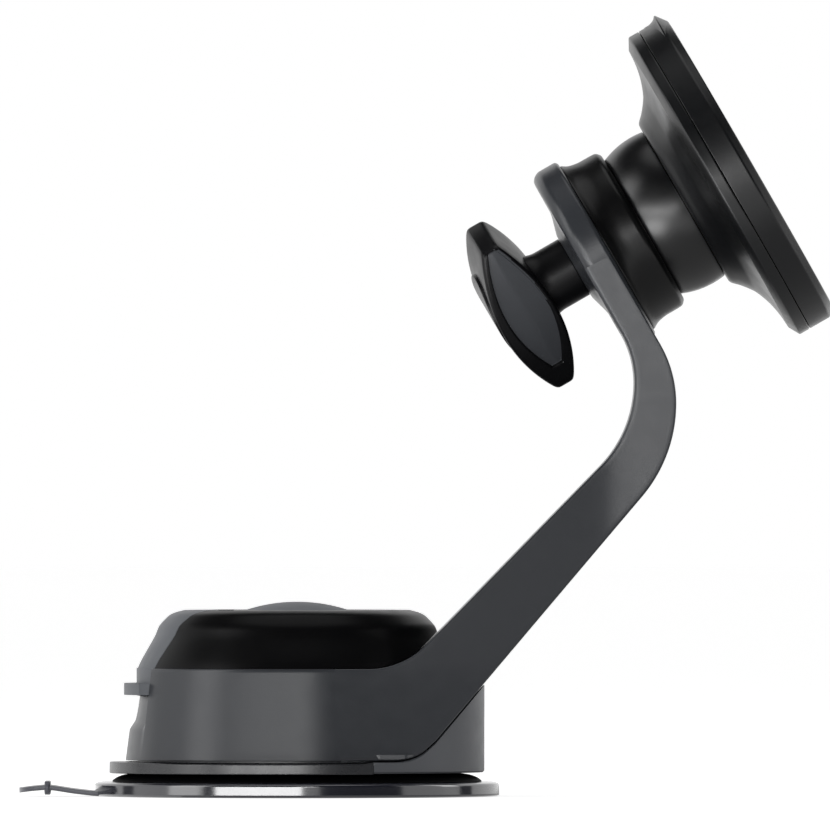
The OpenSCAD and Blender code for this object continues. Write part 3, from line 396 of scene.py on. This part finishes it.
gloss_cap = finish("gloss_cap", (10, 10, 11), 0.34, 0.1, 0.5, 0.002)
socket_plastic = finish("socket_plastic", (8, 8, 9), 0.34, 0.3)
ball_plastic = finish("ball_plastic", (9, 9, 11), 0.32, 0.6, 0.3, 0.003)
friction_plastic = finish("friction_plastic", (150, 120, 84), 0.6)
knob_plastic = finish("knob_plastic", (12, 12, 14), 0.36, 0.2)
grip_plastic = finish("grip_plastic", (69, 71, 75), 0.42, 0.2, 0.3, 0.012)
machined_brass = finish("machined_brass", (196, 160, 92), 0.3, metal=1.0, depth=0.004)
head_plastic = finish("head_plastic", (14, 15, 17), 0.34, 0.4)
nickel = finish("nickel", (176, 176, 178), 0.25, metal=1.0, depth=0.003)
soft_pad = finish("soft_pad", (26, 26, 28), 0.62, 0.12, 0.25, 0.02, vary=0.04)
washer_plastic = finish("washer_plastic", (7, 7, 8), 0.4, 0.05)


def gel_disc():
    """Turned disc with a shallow hollow below. Its side leans in by a degree and a half, and its upper edge
    is round."""
    return turned(rounded([(0, 1.2), (8.4, 1.2), (16.8, 0.9), (24, 0), (pad_r - 0.35, 0), (pad_r, 0.3),
                           (pad_r - side_lean * (pad_t - 0.5), pad_t - 0.3), (pad_r - pad_bevel, pad_t),
                           (0, pad_t)], [2, 2, 0.6, 0.15, 0.15, 0.3, 0.3]), 288)


def pull_tab():
    """Rounded boxes along a rising line. The half width follows an ellipse over the tip."""
    line = smooth([(-33.6, 0.52), (-34.8, 0.5), (-38.7, 0.92), (-42.8, 1.52), (-45.5, 1.42),
                   (tab_tip_x, 1.08)], 8)
    x, z = line[:, 0], line[:, 1]
    tip = np.clip((tab_tip_x + tab_tip_l - x) / tab_tip_l, 0, 1)
    half = tab_half * np.sqrt(np.clip(1 - tip ** 2, 0.0004, 1))
    c, s = power(np.linspace(0, TURN, 48, endpoint=False), boxy)
    return np.stack([x[:, None] + 0 * c, half[:, None] * c, z[:, None] + tab_t / 2 * s], -1)


def grip_rib():
    """Upright rounded box across the tab: its section shrinks to nothing at both ends."""
    y = rib_half * np.sin(np.linspace(-np.pi / 2, np.pi / 2, 25))
    swell = np.clip(1 - (np.abs(y) / rib_half) ** 14, 0.02, 1)[:, None] ** 0.5
    c, s = power(np.linspace(0, TURN, 48, endpoint=False), boxy)
    return np.stack([rib_x + rib_w / 2 * swell * c, y[:, None] + 0 * c,
                     rib_z + rib_h / 2 * swell * s], -1)


grid_piece("gel_pad", [(gel_disc(), AXLE)], "root", gel, "sticky_pad")
grid_piece("pull_tab", [(pull_tab(), BAR), (grip_rib(), BAR)], "root", tab_gel, "sticky_pad")

cup_line = rounded([(0, 5.2), (8, 5.2), (18.57, cup_z), (cup_r, cup_z), (cup_r, 2.76), (31.5, 3.25),
                    (30.3, 3.75), (28.6, ring_z), (20, ring_z), (10.3, 5.88), (8.15, crown_z), (0, crown_z)],
                   [0.4, 0.4, 0.05, 0.05, 0.4, 0.6, 0.8, 0.4, 0.4, 0.4])
grid_piece("suction_lip", [(turned(cup_line), AXLE)], "root", cup_rubber, "suction_cup",
           blended=("root", "stem", (0, 0, ring_z * MM), (0, 0, crown_z * MM)))


def spring_coil():
    """Round wire along a helix: the centre turns evenly while it rises, and the wire's circle stands in the
    plane of the radius and the axis."""
    a = np.linspace(0, TURN * spring_turns, 48 * spring_turns)[:, None]
    b = np.linspace(0, TURN, 16, endpoint=False)[None, :]
    r = spring_r + wire_r * np.cos(b)
    rise = spring_z + (guide_z - spring_z) * a / a[-1]
    return np.stack([r * np.cos(a), r * np.sin(a), rise + wire_r * np.sin(b)], -1)


grid_piece("spring_coil", [(spring_coil(), BAR)], "root", turned_steel, "return_spring",
           blended=("stem", "root", (0, 0, spring_foot * MM), (0, 0, spring_head * MM)))


def cut_round(line, x_end, count):
    """A closed (radius, height) line turned about +Z, from one crossing of the plane x = x_end round to the
    other."""
    a = np.arccos(x_end / line[:, :1])
    angle = a + (TURN - 2 * a) * np.linspace(0, 1, count)
    return np.stack([line[:, :1] * np.cos(angle), line[:, :1] * np.sin(angle),
                     line[:, 1:] + 0 * angle], -1)


def relief(x):
    """Share of the shadow gap's opening at a place along X: it fades in and out at the two ends."""
    return ease((x - relief_from) / relief_in) * ease((relief_to - x) / relief_out)


def rim_plate():
    """Flat ring cut off at the rear block, whose top sinks a little along the shadow gap."""
    top = ring_z + ring_t
    slope = 0.6
    line = loop([(ring_in_r, ring_z), (ring_r, ring_z), (ring_r - side_lean * ring_t, top),
                 (lip_r + slope, top), (lip_r + 0.1, top), (ring_in_r, top)], 0.15)
    grid = cut_round(line, block_x - seam / 2, 240)
    past_lip = np.hypot(grid[..., 0], grid[..., 1]) - lip_r
    sink = ease((grid[..., 2] - ring_z) / ring_t) * ease(past_lip / slope)
    grid[..., 2] -= plate_relief * sink * relief(grid[..., 0])
    return grid


grid_piece("rim_plate", [(rim_plate(), WALL)], "root", rim_plastic, "base_ring")

# The arm's upper and lower edges in the XZ plane, from the foot to the joint plate, in four stretches
front_arcs = [np.vstack([[(foot_x, band_top)], arc(foot_c, foot_r, -90, -slope_front, 24)]),
              np.vstack([arc(foot_c, foot_r, -slope_front, -slope_front, 1),
                         arc(front_low_c, front_low_r, -slope_front, -slope_front, 1)]),
              np.vstack([arc(front_low_c, front_low_r, -slope_front, 0, 24),
                         arc(front_high_c, front_high_r, 0, head_rise, 16)[1:]]),
              np.vstack([head_xz(plate_back, back_join), head_xz(plate_back, join_end)])]
back_arcs = [smooth([(foot_x, band_z + 0.12), (13.0, band_z + 0.12), (18.0, band_z + 0.2), (21.3, 7.5),
                     foot_end], 8),
             np.vstack([[foot_end], arc(back_low_c, back_low_r, -slope_back, -slope_back, 1)]),
             np.vstack([arc(back_low_c, back_low_r, -slope_back, 0, 24),
                        arc(back_high_c, back_high_r, 0, head_rise, 16)[1:]]),
             np.vstack([head_xz(plate_front, front_join), head_xz(plate_front, join_end)])]
# Points along each stretch, of which the last is left out
stretch_steps = (30, 40, 60, 20)
front, back = (np.vstack([resample(line, count)[:-1] for line, count in zip(arcs, stretch_steps)])
               for arcs in (front_arcs, back_arcs))
# Row of the arm at which each stretch starts
rows_at = np.cumsum((0,) + tuple(count - 1 for count in stretch_steps))


def foot_height(x):
    """Height of the arm's lower edge over x, up to the rear block's outer radius."""
    low = back[back[:, 0] < foot_past]
    return np.interp(x, low[:, 0], low[:, 1])


def rear_wall():
    """Curved wall under the arm: both radii are fixed, its top follows the arm's lower edge, and its outer
    edges are eased."""
    inner, low_edge, top_edge = block_r - block_wall, 0.3, 0.25
    r = np.array([[inner], [block_r - low_edge], [block_r], [block_r], [block_r - top_edge], [inner]])
    up = np.array([[0.0], [0.0], [0.0], [1.0], [1.0], [1.0]])
    lift = np.array([[0.0], [0.0], [low_edge], [-top_edge], [0.0], [0.0]])
    a = np.arccos(block_x / r) * np.linspace(-1, 1, 161)[None, :]
    x, y = r * np.cos(a), r * np.sin(a)
    top = foot_height(x) - 2 * seam
    return np.stack([x, y, block_z + (top - block_z) * up + lift], -1)


grid_piece("rear_wall", [(rear_wall(), WALL)], "root", block_plastic, "rear_block")


def band_radius(z):
    """The band's outer radius falls evenly from its foot to its top."""
    return np.interp(z, [band_z, band_top], [band_r, band_top_r])


def side_angle(z):
    """Direction in plan of the arm side's normal at a height. The straight side runs from the neck point to
    where it touches the band's circle."""
    return np.arctan2(neck_w, neck_x) + np.arccos(band_radius(z) / np.hypot(neck_x, neck_w))


def half_width(x, z):
    """Half the arm's width: it falls along the straight side, levels off softly at the neck, and passes into
    the joint plate's own half width on the way up."""
    a = side_angle(z)
    before = neck_x - x
    level = (before + np.sqrt(before ** 2 + 4 * neck_soft ** 2)) / 2
    width = neck_w + level * np.cos(a) / np.sin(a)
    return width + (plate_r - width) * ease((z - widen_z) / widen_by)


def arm():
    """Solid bar whose upper and lower edges follow two lines in the XZ plane. Across, each section is a box
    with its own rounding at both edges, and its half width comes from the plan."""
    steps = np.arange(len(front))
    # Rounding of the two edges, in millimetres, at some of the rows
    over_edge = np.interp(steps, [16, 34, rows_at[2] + 20, rows_at[3]], [0.3, 0.45, 0.5, 0.9])[:, None]
    under_edge = np.interp(steps, [0, 14, 28, *rows_at[2:4]], [0.06, 0.3, 0.45, 0.45, 0.3])[:, None]
    # Points of half a section: half the upper face, a bend, the side, a bend, and half the lower face
    face, bend, side = 8, 7, 12
    quarter = np.radians(np.linspace(0, 90, bend))
    across = np.linspace(0, 1, face)
    along = np.linspace(0, 1, side + 2)[1:-1]
    zero, one = np.zeros, np.ones
    # A section point's depth and width are these shares of the two roundings and of the whole
    q_over = np.r_[zero(face), 1 - np.cos(quarter), 1 - along, zero(bend + face)]
    q_under = np.r_[zero(face + bend), -along, -(1 - np.sin(quarter)), zero(face)]
    q_whole = np.r_[zero(face + bend), along, one(bend + face)]
    y_over = np.r_[-across, -(1 - np.sin(quarter)), zero(side + bend + face)]
    y_under = np.r_[zero(face + bend + side), -(1 - np.cos(quarter)), -across[::-1]]
    y_whole = np.r_[across, one(bend + side + bend), across[::-1]]
    depth = np.linalg.norm(back - front, axis=1)[:, None]
    # Hollow in the middle of the lower face: over the lifted cup at the foot, and behind the tilted ball
    hollow = (cup_room * ease((cup_rows - steps) / room_slope)
              + ball_room * ease((steps - rows_at[3] - ball_rows) / room_slope))
    middle = np.r_[zero(len(q_whole) - room_points), one(room_points)]
    q = q_over * over_edge + q_under * under_edge + q_whole * depth - hollow[:, None] * middle
    line = front[:, None, :] + (back - front)[:, None, :] * (q / depth)[:, :, None]
    w = half_width(line[..., 0], line[..., 1])
    y = y_over * over_edge + y_under * under_edge + y_whole * w
    right = np.stack([line[..., 0], y, line[..., 1]], -1)
    left = right[:, ::-1] * np.array([1.0, -1.0, 1.0])
    return np.concatenate([right, left], axis=1)


def finger_contour(z):
    """Outer radius inside the finger scoop, straight between a few heights."""
    return np.interp(z, [band_z, 8.7, 11.7, 13.2, 14.4, 16.1, 17.6],
                     [band_r, 29.5, 29.1, 28.1, 27.8, 27.5, 27.3])


def housing_band():
    """Wall round the base, from one side of the arm round to the other. Between the lever's sides its top
    drops to the notch and its outer face follows the finger scoop; the columns double there for upright
    steps. Its foot rises a little along the shadow gap."""
    z_out = np.r_[band_z + 0.05, np.linspace(7, 22, 40), band_top - 0.3]
    rows_r = np.r_[band_radius(z_out), band_top_r - 0.1, band_top_r - 0.3, band_in_r, band_in_r,
                   lip_r, lip_r, band_r - 0.05]
    foot_z = ring_z + ring_t + 0.01
    rows_z = np.r_[z_out, band_top - 0.08, band_top, band_top, foot_z, foot_z, band_z, band_z]
    r, z = rows_r[:, None], rows_z[:, None]
    half = lever_half + lever_gap
    start = side_angle(z) - band_overlap
    edge = np.pi - np.arcsin(half / r)
    # Angle between two columns of a step, and the lengths over which the scoop and the foot's rise fade
    step, scoop_fade, foot_fade = 1e-4, 1.2, 1.5
    s = np.linspace(0, 1, 90)
    angle = np.concatenate([start + (edge - step - start) * s,
                            np.pi + (np.pi - edge) * np.linspace(-1, 1, 60),
                            TURN - (start + (edge - step - start) * s[::-1])], axis=1)
    inside = np.abs(angle - np.pi) <= np.pi - edge + step / 2
    low = finger_z - seam
    height = np.where(inside, np.minimum(z, low), z)
    fade = ease((half - np.abs(r * np.sin(angle))) / scoop_fade)
    outer = np.arange(len(rows_r))[:, None] < len(z_out) + 1
    scooped = np.where(z > low, finger_contour(height), r + (finger_contour(height) - r) * fade)
    radius = np.where(outer & inside, scooped, r)
    x = radius * np.cos(angle)
    foot = ease(1 - (height - band_z) / foot_fade) * (height > band_z - 0.01)
    return np.stack([x, radius * np.sin(angle), height + band_relief * foot * relief(x)], -1)


def foot_ledge():
    """Small shelf on each side over the rear block. Its face stands upright and turns less than the arm's
    side does, so it comes out of the arm from a slanted point on, and it sinks back where the arm's edge
    climbs. It opens and fades over two lengths, and its root lies inside the arm."""
    opening, fading, root = 0.9, 1.6, 1.2
    x = np.linspace(block_x + 0.1, ledge_end, 60)
    start = ease((x - x[0]) / opening)
    low = np.maximum(foot_height(x) + 0.1, ledge_z - ledge_fall * start)
    high = np.maximum(ledge_z + 0 * x, low + 0.02)
    wall = half_width(x, high)
    out = (ledge_out + ledge_turn * (wall[0] - wall)) * start * ease((x[-1] - x) / fading) + 0.01
    rows = [(wall - root, low), (wall + out - 0.1, low), (wall + out, low + 0.1),
            (wall + out, high - 0.1), (wall + out - 0.12, high), (wall - root, high)]
    grid = np.stack([np.stack([x, y, z], -1) for y, z in rows])
    return [grid, grid * np.array([1.0, -1.0, 1.0])]


plate = rounded([(0, -19.6), (6.1, -19.6), (10.2, plate_back), (16.1, plate_back), (16.95, -17.85),
                 (plate_r, -16.9), (plate_r, -13.55), (16.9, -13.1), (7.3, -13.1), (5.2, -14.06),
                 (2.8, -14.75), (0, -15.0)], [0.3, 1.2, 0.5, 0.5, 0.4, 0.5, 0.3, 0.2, 0.8, 0.8])
for name, parts, crease in (("housing_band", [(housing_band(), WALL)], 32), ("arm", [(arm(), BAR)], 32),
                            ("foot_ledge", [(grid, WALL) for grid in foot_ledge()], 20),
                            ("joint_plate", [(at_head(turned(plate)), AXLE)], 32)):
    grid_piece(name, parts, "root", housing_plastic, "arm_housing", crease)

# The badge is a shallow cap of a sphere
badge_arc_r = (badge_r ** 2 + badge_h ** 2) / (2 * badge_h)
badge_angle = np.degrees(np.arcsin(badge_r / badge_arc_r))
badge = np.vstack([[(0, dome_top)], [(badge_r, dome_top)],
                   arc((0, dome_top + badge_h - badge_arc_r), badge_arc_r, 90 - badge_angle, 90, 24)])
grid_piece("badge", [(turned(badge, 128), AXLE)], "root", badge_plastic, "cap_badge")
softened("dome", "top_cap", "root", gloss_cap, 0.12)
softened("lever", "lock_lever", "lever", lever_plastic, 0.25)

socket = loop([(11.2, -13.09), (16.45, -13.09), (15.65, -11.9), (15.3, -10.2), (15.3, -8.1), (15.25, -6.6),
               (14.4, -5.87), (13.65, -5.85), (12.6, -7.6)], [0.4, 0.8, 0.9, 0.6, 0.6, 0.5, 0.2, 0.3, 0.2])
grid_piece("socket_cup", [(at_head(turned(socket)), RING)], "root", socket_plastic,
           "ball_socket")

# Half ball: its outside and inside as arcs, in degrees from its equator, with the flat front between them
outside = arc((0, 0), ball_r, np.degrees(np.arcsin(2.24 / ball_r)), -51.8, 40)
inside = arc((0, 0), ball_r - ball_wall, -43, -1, 30)
half_ball = np.vstack([[(screw_r, ball_front), (stub_r, ball_front), (14.2, ball_front)], outside, inside,
                       [(screw_r, 0.0)]])
stub = loop([(screw_r, 2.1), (stub_r, 2.1), (stub_r, stub_end), (screw_r, stub_end)], 0.2)
grid_piece("half_ball", [(at_head(turned(half_ball)), RING), (at_head(turned(stub, 64)), RING)], "ball",
           ball_plastic, "ball_shell")

flare_outer = smooth([(14.75, 2.43), (15.9, 2.55), (17.3, 3.86), (18.8, 5.03), (20.1, 5.79), (22.7, 6.71),
                      (25.4, 7.22), (27.8, 7.4)], 6)
flare_inner = rounded([(27.8, 7.4), (head_r, 8.49), (head_r, seam_z - 0.03),
                       (head_r - shell_wall, seam_z - 0.03), (head_r - shell_wall, 9.3), (22.7, 8.8),
                       (19.5, 7.4), (16.1, 4.93), (hub_r, 4.93), (hub_r, hub_z), (hub_bore, hub_z)], 0.25)
flare = np.vstack([[(hub_bore, 2.43)], flare_outer, flare_inner[1:]])
grid_piece("flare", [(at_head(turned(flare, 256)), RING)], "head", head_plastic, "head_back")


def small_lip():
    """Lip at the head's top edge, bent along it: its side is hollow, its front carries the bevel's slope
    outwards, and it sinks into the ring towards both ends."""
    section = np.vstack([smooth([(29.0, 10.9), (29.82, 11.6), (29.9, 12.6), (30.15, 13.4), (30.45, 13.85),
                                 (30.78, 14.1)], 4), [(30.8, 14.35), (28.9, 15.78), (28.2, 15.0)]])
    share = np.linspace(-1, 1, 61)
    angle = tip_angle * share
    r = section[:, :1] - tip_sink * share ** 2
    return np.stack([-r * np.cos(angle), r * np.sin(angle), section[:, 1:] - tip_back * share ** 2], -1)


front_line = rounded([(0, 15.0), (26.7, 15.0), (26.7, face_z), (28.85, face_z), (head_r, side_end),
                      (head_r, seam_z + 0.08), (27.6, seam_z + 0.08), (27.6, 12.31), (26.35, 12.31),
                      (26.35, 14.75), (20.45, 14.75), (20.45, 12.31), (0, 12.31)],
                     [0.1, 0.15, 0.25, 0.25, 0.12, 0.1, 0.1, 0.1, 0.1, 0.1, 0.1])
grid_piece("front_ring", [(at_head(turned(front_line, 256)), AXLE), (at_head(small_lip()), WALL)], "head",
           head_plastic, "head_front")

pad_line = rounded([(0, 15.03), (26.6, 15.03), (26.6, 15.7), (26.3, face_z), (24.1, face_z), (23.9, 15.7),
                    (23.3, 15.7), (23.1, face_z), (0, face_z)], 0.08)
grid_piece("face_pad", [(at_head(turned(pad_line)), AXLE)], "head", soft_pad, "front_pad")


def knob_frame(grid):
    """From the wing's own frame, turned about the head's axis, to the row frame."""
    c, s = np.cos(np.radians(wing_turn)), np.sin(np.radians(wing_turn))
    x, y = grid[..., 0], grid[..., 1]
    return at_head(np.stack([c * x - s * y, s * x + c * y, grid[..., 2]], -1))


def wing_depth(l):
    """Half the wing's depth along its length: an arc that falls to the blunt tips."""
    return wing_d - (wing_d - wing_tip_d) * (l / wing_half) ** 2


def wing_width(l):
    """Half the wing's width along its length."""
    return wing_w - (wing_w - wing_tip_w) * (l / wing_half) ** 2


def dish_reach_at(l, side):
    """Half the panel's width at a place along the wing, an arc, and the share of its full depth there. The
    panel on the other side is half a turn round."""
    middle = np.where(side < 0, dish_at, 2 * wing_shift - dish_at)
    away = np.abs(l - middle)
    return dish_reach * (1 - (away / dish_arc) ** 2), ease((dish_half - away) / dish_end)


def wing_side(l, d, w, side):
    """One broad side from back to front: flat up to the panel's line, down by a steep wall, and up again to a
    low ridge along the panel's middle."""
    reach, depth = dish_reach_at(l, side)
    reach = np.clip(reach, 0.5, None)
    low, high = -(d - wing_edge), d - wing_edge
    start = np.maximum(dish_mid - reach, low + 0.01)
    stop = np.minimum(dish_mid + reach, high - 0.01)
    flat, half = np.linspace(0, 1, 4)[:-1], np.linspace(0, 1, 7)
    inner, outer = start + dish_wall, stop - dish_wall
    ridge = (inner + outer) / 2
    n = np.concatenate([low + (start - low) * flat, start, inner + (ridge - inner) * half,
                        (ridge + (outer - ridge) * half)[:, 1:], stop,
                        stop + (high - stop) * (1 - flat[::-1])], axis=1)
    rise = dish_roof * (ridge - inner)
    sunk = np.concatenate([0 * flat + 0 * l, 0 * l, dish_step - rise * half,
                           (dish_step - rise * (1 - half))[:, 1:], 0 * l, 0 * flat + 0 * l], axis=1)
    return n, w - sunk * depth


def wing():
    """Box along the wing's length with eased edges. Each section runs up one broad side, over the front, down
    the other side and over the back. The ends draw in a little."""
    l = np.linspace(-wing_half, wing_half, 170)[:, None]
    end = wing_end + (1 - wing_end) * np.clip(1 - np.abs(l / wing_half) ** 36, 0, 1) ** 0.5
    d, w = wing_depth(l) * end, wing_width(l) * end
    a = np.radians(np.linspace(0, 90, 7))[1:-1]
    quarter_n = d - wing_edge + wing_edge * np.sin(a)
    quarter_y = w - wing_edge + wing_edge * np.cos(a)
    across = (w - wing_edge) * np.linspace(1, -1, 6)
    far_n, far_y = wing_side(l + wing_shift, d, w, 1)
    near_n, near_y = wing_side(l + wing_shift, d, w, -1)
    n = np.concatenate([far_n, quarter_n, d + 0 * across, quarter_n[:, ::-1], near_n[:, ::-1], -quarter_n,
                        -d + 0 * across, -quarter_n[:, ::-1]], axis=1)
    y = np.concatenate([far_y, quarter_y, across, -quarter_y[:, ::-1], -near_y[:, ::-1], -quarter_y,
                        -across, quarter_y[:, ::-1]], axis=1)
    return np.stack([l + wing_shift + 0 * n, y, wing_mid + n], -1)


def knob_neck():
    """Turned neck whose skirt covers the thrust washer."""
    return turned(loop([(2.2, -20.3), (5.2, -20.3), (5.2, neck_end), (neck_r, neck_end), (neck_r, -25.4),
                        (6.6, -27.6), (2.2, -27.6)], [0.05, 0.05, 0.12, 1.0, 0.1, 0.1, 0.1]), 96)


def knob_button():
    """Round button let into the wing's back: its face follows the wing's arc a little proud of it."""
    rings, depth = 12, 1.6
    r = np.r_[0, np.linspace(1, button_r - 0.2, rings), button_r - 0.05, button_r, button_r, 0][:, None]
    drop = np.r_[np.zeros(rings + 1), 0.05, 0.2, depth, depth][:, None]
    a = np.linspace(0, TURN, 96, endpoint=False)
    x, y = r * np.cos(a), r * np.sin(a)
    return np.stack([x, y, wing_mid - wing_depth(x) - button_h + drop], -1)


wing_skin = grid_piece("wing_knob_skin", [(knob_frame(wing()), BAR), (knob_frame(knob_neck()), RING)], "knob",
                       knob_plastic, "wing_knob", crease=24)
grid_piece("knob_button", [(knob_frame(knob_button()), AXLE)], "knob", knob_plastic, "knob_cap")


def panel_faces(mesh):
    """Tells which faces lie on a panel's floor, from each face's middle in the wing's own frame: within the
    panel's reach and nearly full depth, away from the neck and from the wing's front and back."""
    floor_share, neck_clear, edge_clear = 0.9, 3.0, 0.8
    middle = np.empty(len(mesh.polygons) * 3)
    mesh.polygons.foreach_get("center", middle)
    from_ball = middle.reshape(-1, 3) / MM - ball
    n = from_ball @ out_axis - wing_mid
    along = from_ball @ down_axis
    c, s = np.cos(np.radians(wing_turn)), np.sin(np.radians(wing_turn))
    l = c * along + s * from_ball[:, 1]
    y = c * from_ball[:, 1] - s * along
    reach, depth = dish_reach_at(l, y)
    return ((np.abs(n - dish_mid) < reach - dish_wall) & (depth > floor_share)
            & (np.abs(y) > neck_clear) & (np.abs(n) < wing_d - edge_clear))


# The panels take the second material
wing_skin.data.materials.append(grip_plastic)
wing_skin.data.polygons.foreach_set("material_index", panel_faces(wing_skin.data).astype(np.int32))

# The arm's cover strip and the works inside the holder keep their solids
for mat, kept in ((turned_steel, ("base_screws", "lever_pins", "cam_pin", "clamp_bolt", "ball_screw",
                                  "head_screws")),
                  (zinc_plate, ("chassis", "clamp_dome", "ball_washer", "shield_plate")),
                  (insert_nylon, ("cup_insert",)), (black_steel, ("pull_stem",)),
                  (cover_plastic, ("arm_back_cover",)), (friction_plastic, ("friction_ring",)),
                  (washer_plastic, ("thrust_washer",)), (machined_brass, ("knob_insert",)),
                  (nickel, ("magnet_ring",))):
    for node in kept:
        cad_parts[node].data.materials.clear()
        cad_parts[node].data.materials.append(mat)


def seen_directly(nodes, links):
    """1 for camera, glossy and transmission rays, 0 for the rest."""
    path = nodes.new("ShaderNodeLightPath")
    total = path.outputs["Is Camera Ray"]
    for other in ("Is Glossy Ray", "Is Transmission Ray"):
        top = nodes.new("ShaderNodeMath")
        top.operation = "MAXIMUM"
        links.new(total, top.inputs[0])
        links.new(path.outputs[other], top.inputs[1])
        total = top.outputs[0]
    return total


def between(nodes, links, value, low, high):
    """A number that is low where the value is 0 and high where it is 1."""
    span = nodes.new("ShaderNodeMapRange")
    span.inputs["To Min"].default_value = low
    span.inputs["To Max"].default_value = high
    links.new(value, span.inputs["Value"])
    return span.outputs["Result"]


def white_world(fill):
    """Background that the camera and reflections see as white, and that lights the object with the fill."""
    world = bpy.data.worlds.new("studio")
    bpy.context.scene.world = world
    world.use_nodes = True
    nodes, links = world.node_tree.nodes, world.node_tree.links
    background = nodes["Background"]
    background.inputs["Color"].default_value = (1, 1, 1, 1)
    strength = between(nodes, links, seen_directly(nodes, links), fill, 1.0)
    links.new(strength, background.inputs["Strength"])


def rectangle(x_low, x_high, y_low, y_high, z):
    """Corners and the one face of a level card, in metres."""
    return [(x_low, y_low, z), (x_high, y_low, z), (x_high, y_high, z), (x_low, y_high, z)], [(0, 1, 2, 3)]


def stage_piece(name, points, faces, mat):
    """A flat or curved card of the studio, which isn't part of the holder."""
    mesh = bpy.data.meshes.new(name)
    mesh.from_pydata(points, [], faces)
    mesh.materials.append(mat)
    obj = bpy.data.objects.new(name, mesh)
    bpy.context.scene.collection.objects.link(obj)
    return obj


def white_floor(reach, pale, glow):
    """Pale floor: it takes the object's shadow, and glows just enough to be seen as white."""
    paper = bpy.data.materials.new("white_paper")
    paper.use_nodes = True
    nodes, links = paper.node_tree.nodes, paper.node_tree.links
    shader = nodes["Principled BSDF"]
    shader.inputs["Base Color"].default_value = (pale, pale, pale, 1)
    shader.inputs["Roughness"].default_value = 0.9
    shader.inputs["Specular IOR Level"].default_value = 0.1
    shader.inputs["Emission Color"].default_value = (1, 1, 1, 1)
    seen = between(nodes, links, seen_directly(nodes, links), 0.0, glow)
    links.new(seen, shader.inputs["Emission Strength"])
    stage_piece("floor", *rectangle(-reach, reach, -reach, reach, 0), paper)


# Where most lamps point, and the camera's place and lens, which give the photograph's framing. In metres, and
# the lens in millimetres
holder = (0.02, 0.0, 0.06)
view_from, view_lens = (0.02052, -6.015, 0.0663), 1500


def black_card(name, points, faces, glow=0.0):
    """Black card that is seen in the object's gloss alone. With a glow it is grey there."""
    cloth = bpy.data.materials.new(name)
    cloth.use_nodes = True
    shader = cloth.node_tree.nodes["Principled BSDF"]
    shader.inputs["Base Color"].default_value = (0.004, 0.004, 0.004, 1)
    shader.inputs["Roughness"].default_value = 1.0
    shader.inputs["Specular IOR Level"].default_value = 0.0
    shader.inputs["Emission Color"].default_value = (1, 1, 1, 1)
    shader.inputs["Emission Strength"].default_value = glow
    card = stage_piece(name, points, faces, cloth)
    card.visible_camera = False
    card.visible_diffuse = False
    card.visible_shadow = False
    card.visible_transmission = False


def black_flag(name, start, end, low, high):
    """Upright card on a circle round the object, from one azimuth to another in degrees. Azimuth 0 is the
    photograph's camera and grows to the right; the heights are in metres."""
    distance, steps = 1.3, 37
    a = np.radians(np.linspace(start, end, steps))
    ring = np.stack([distance * np.sin(a), -distance * np.cos(a)], -1)
    points = np.vstack([np.c_[ring, np.full(steps, low)], np.c_[ring, np.full(steps, high)]])
    black_card(name, points.tolist(), [(i, i + 1, i + steps + 1, i + steps) for i in range(steps - 1)])


def softbox(name, place, width, height, watts, towards=holder, in_gloss=True, in_diffuse=True):
    """Rectangular lamp at a place, in metres, turned to the holder or to another place. The camera doesn't
    see it. It can be kept out of gloss, or be seen in gloss and light nothing plainly."""
    lamp = bpy.data.lights.new(name, "AREA")
    lamp.shape = "RECTANGLE"
    lamp.size, lamp.size_y, lamp.energy = width, height, watts
    obj = bpy.data.objects.new(name, lamp)
    bpy.context.scene.collection.objects.link(obj)
    obj.location = place
    obj.rotation_mode = "QUATERNION"
    obj.rotation_quaternion = (Vector(towards) - Vector(place)).to_track_quat("-Z", "Y")
    obj.visible_camera = False
    obj.visible_glossy = in_gloss
    obj.visible_diffuse = in_diffuse


white_world(fill=0.3)
white_floor(reach=9.0, pale=0.86, glow=0.7)
black_flag("flag_front_right", 13, 62, 0.0, 2.6)
black_flag("flag_front", -60, 13, 0.2, 2.6)
black_flag("flag_left_edge", -57, -48, 0.0, 0.12)
black_flag("flag_far_left", -117, -106, 0.0, 0.12)
black_flag("flag_far_right", 106, 118, 0.0, 0.12)
black_flag("flag_high", 62, 300, 0.95, 2.6)
black_card("flag_floor", *rectangle(-0.02, 0.5, -0.2, 0.25, 0.0002), glow=0.45)
softbox("floor_box", (-0.06, -0.25, 0.004), 0.16, 0.2, 0.8, (-0.06, -0.25, 1.0), in_diffuse=False)
softbox("low_strip", (-0.585, -1.15, 0.08), 1.29, 0.16, 5.5, (-0.585, 0.0, 0.08))
softbox("neck_box", (0.14, -1.25, 0.22), 0.2, 0.1, 0.9, (0.14, 0.0, 0.22))
softbox("left_box", (-1.0, -0.45, 0.45), 0.5, 0.9, 3.5)
softbox("right_box", (1.1, 0.15, 0.5), 0.3, 0.9, 2.5)
softbox("top_box", (0.0, 0.1, 1.2), 0.9, 0.6, 1.5, in_gloss=False)
softbox("back_box", (0.3, 1.3, 0.8), 0.9, 0.6, 1.8, in_gloss=False)


def photo_camera():
    """Long lens square to the holder's side."""
    data = bpy.data.cameras.new("camera")
    data.lens, data.sensor_width, data.clip_end = view_lens, 36, 40
    camera = bpy.data.objects.new("camera", data)
    bpy.context.scene.collection.objects.link(camera)
    camera.location = view_from
    camera.rotation_euler = (np.pi / 2, 0, 0)
    bpy.context.scene.camera = camera


photo_camera()
bpy.context.scene.view_settings.view_transform = "Standard"
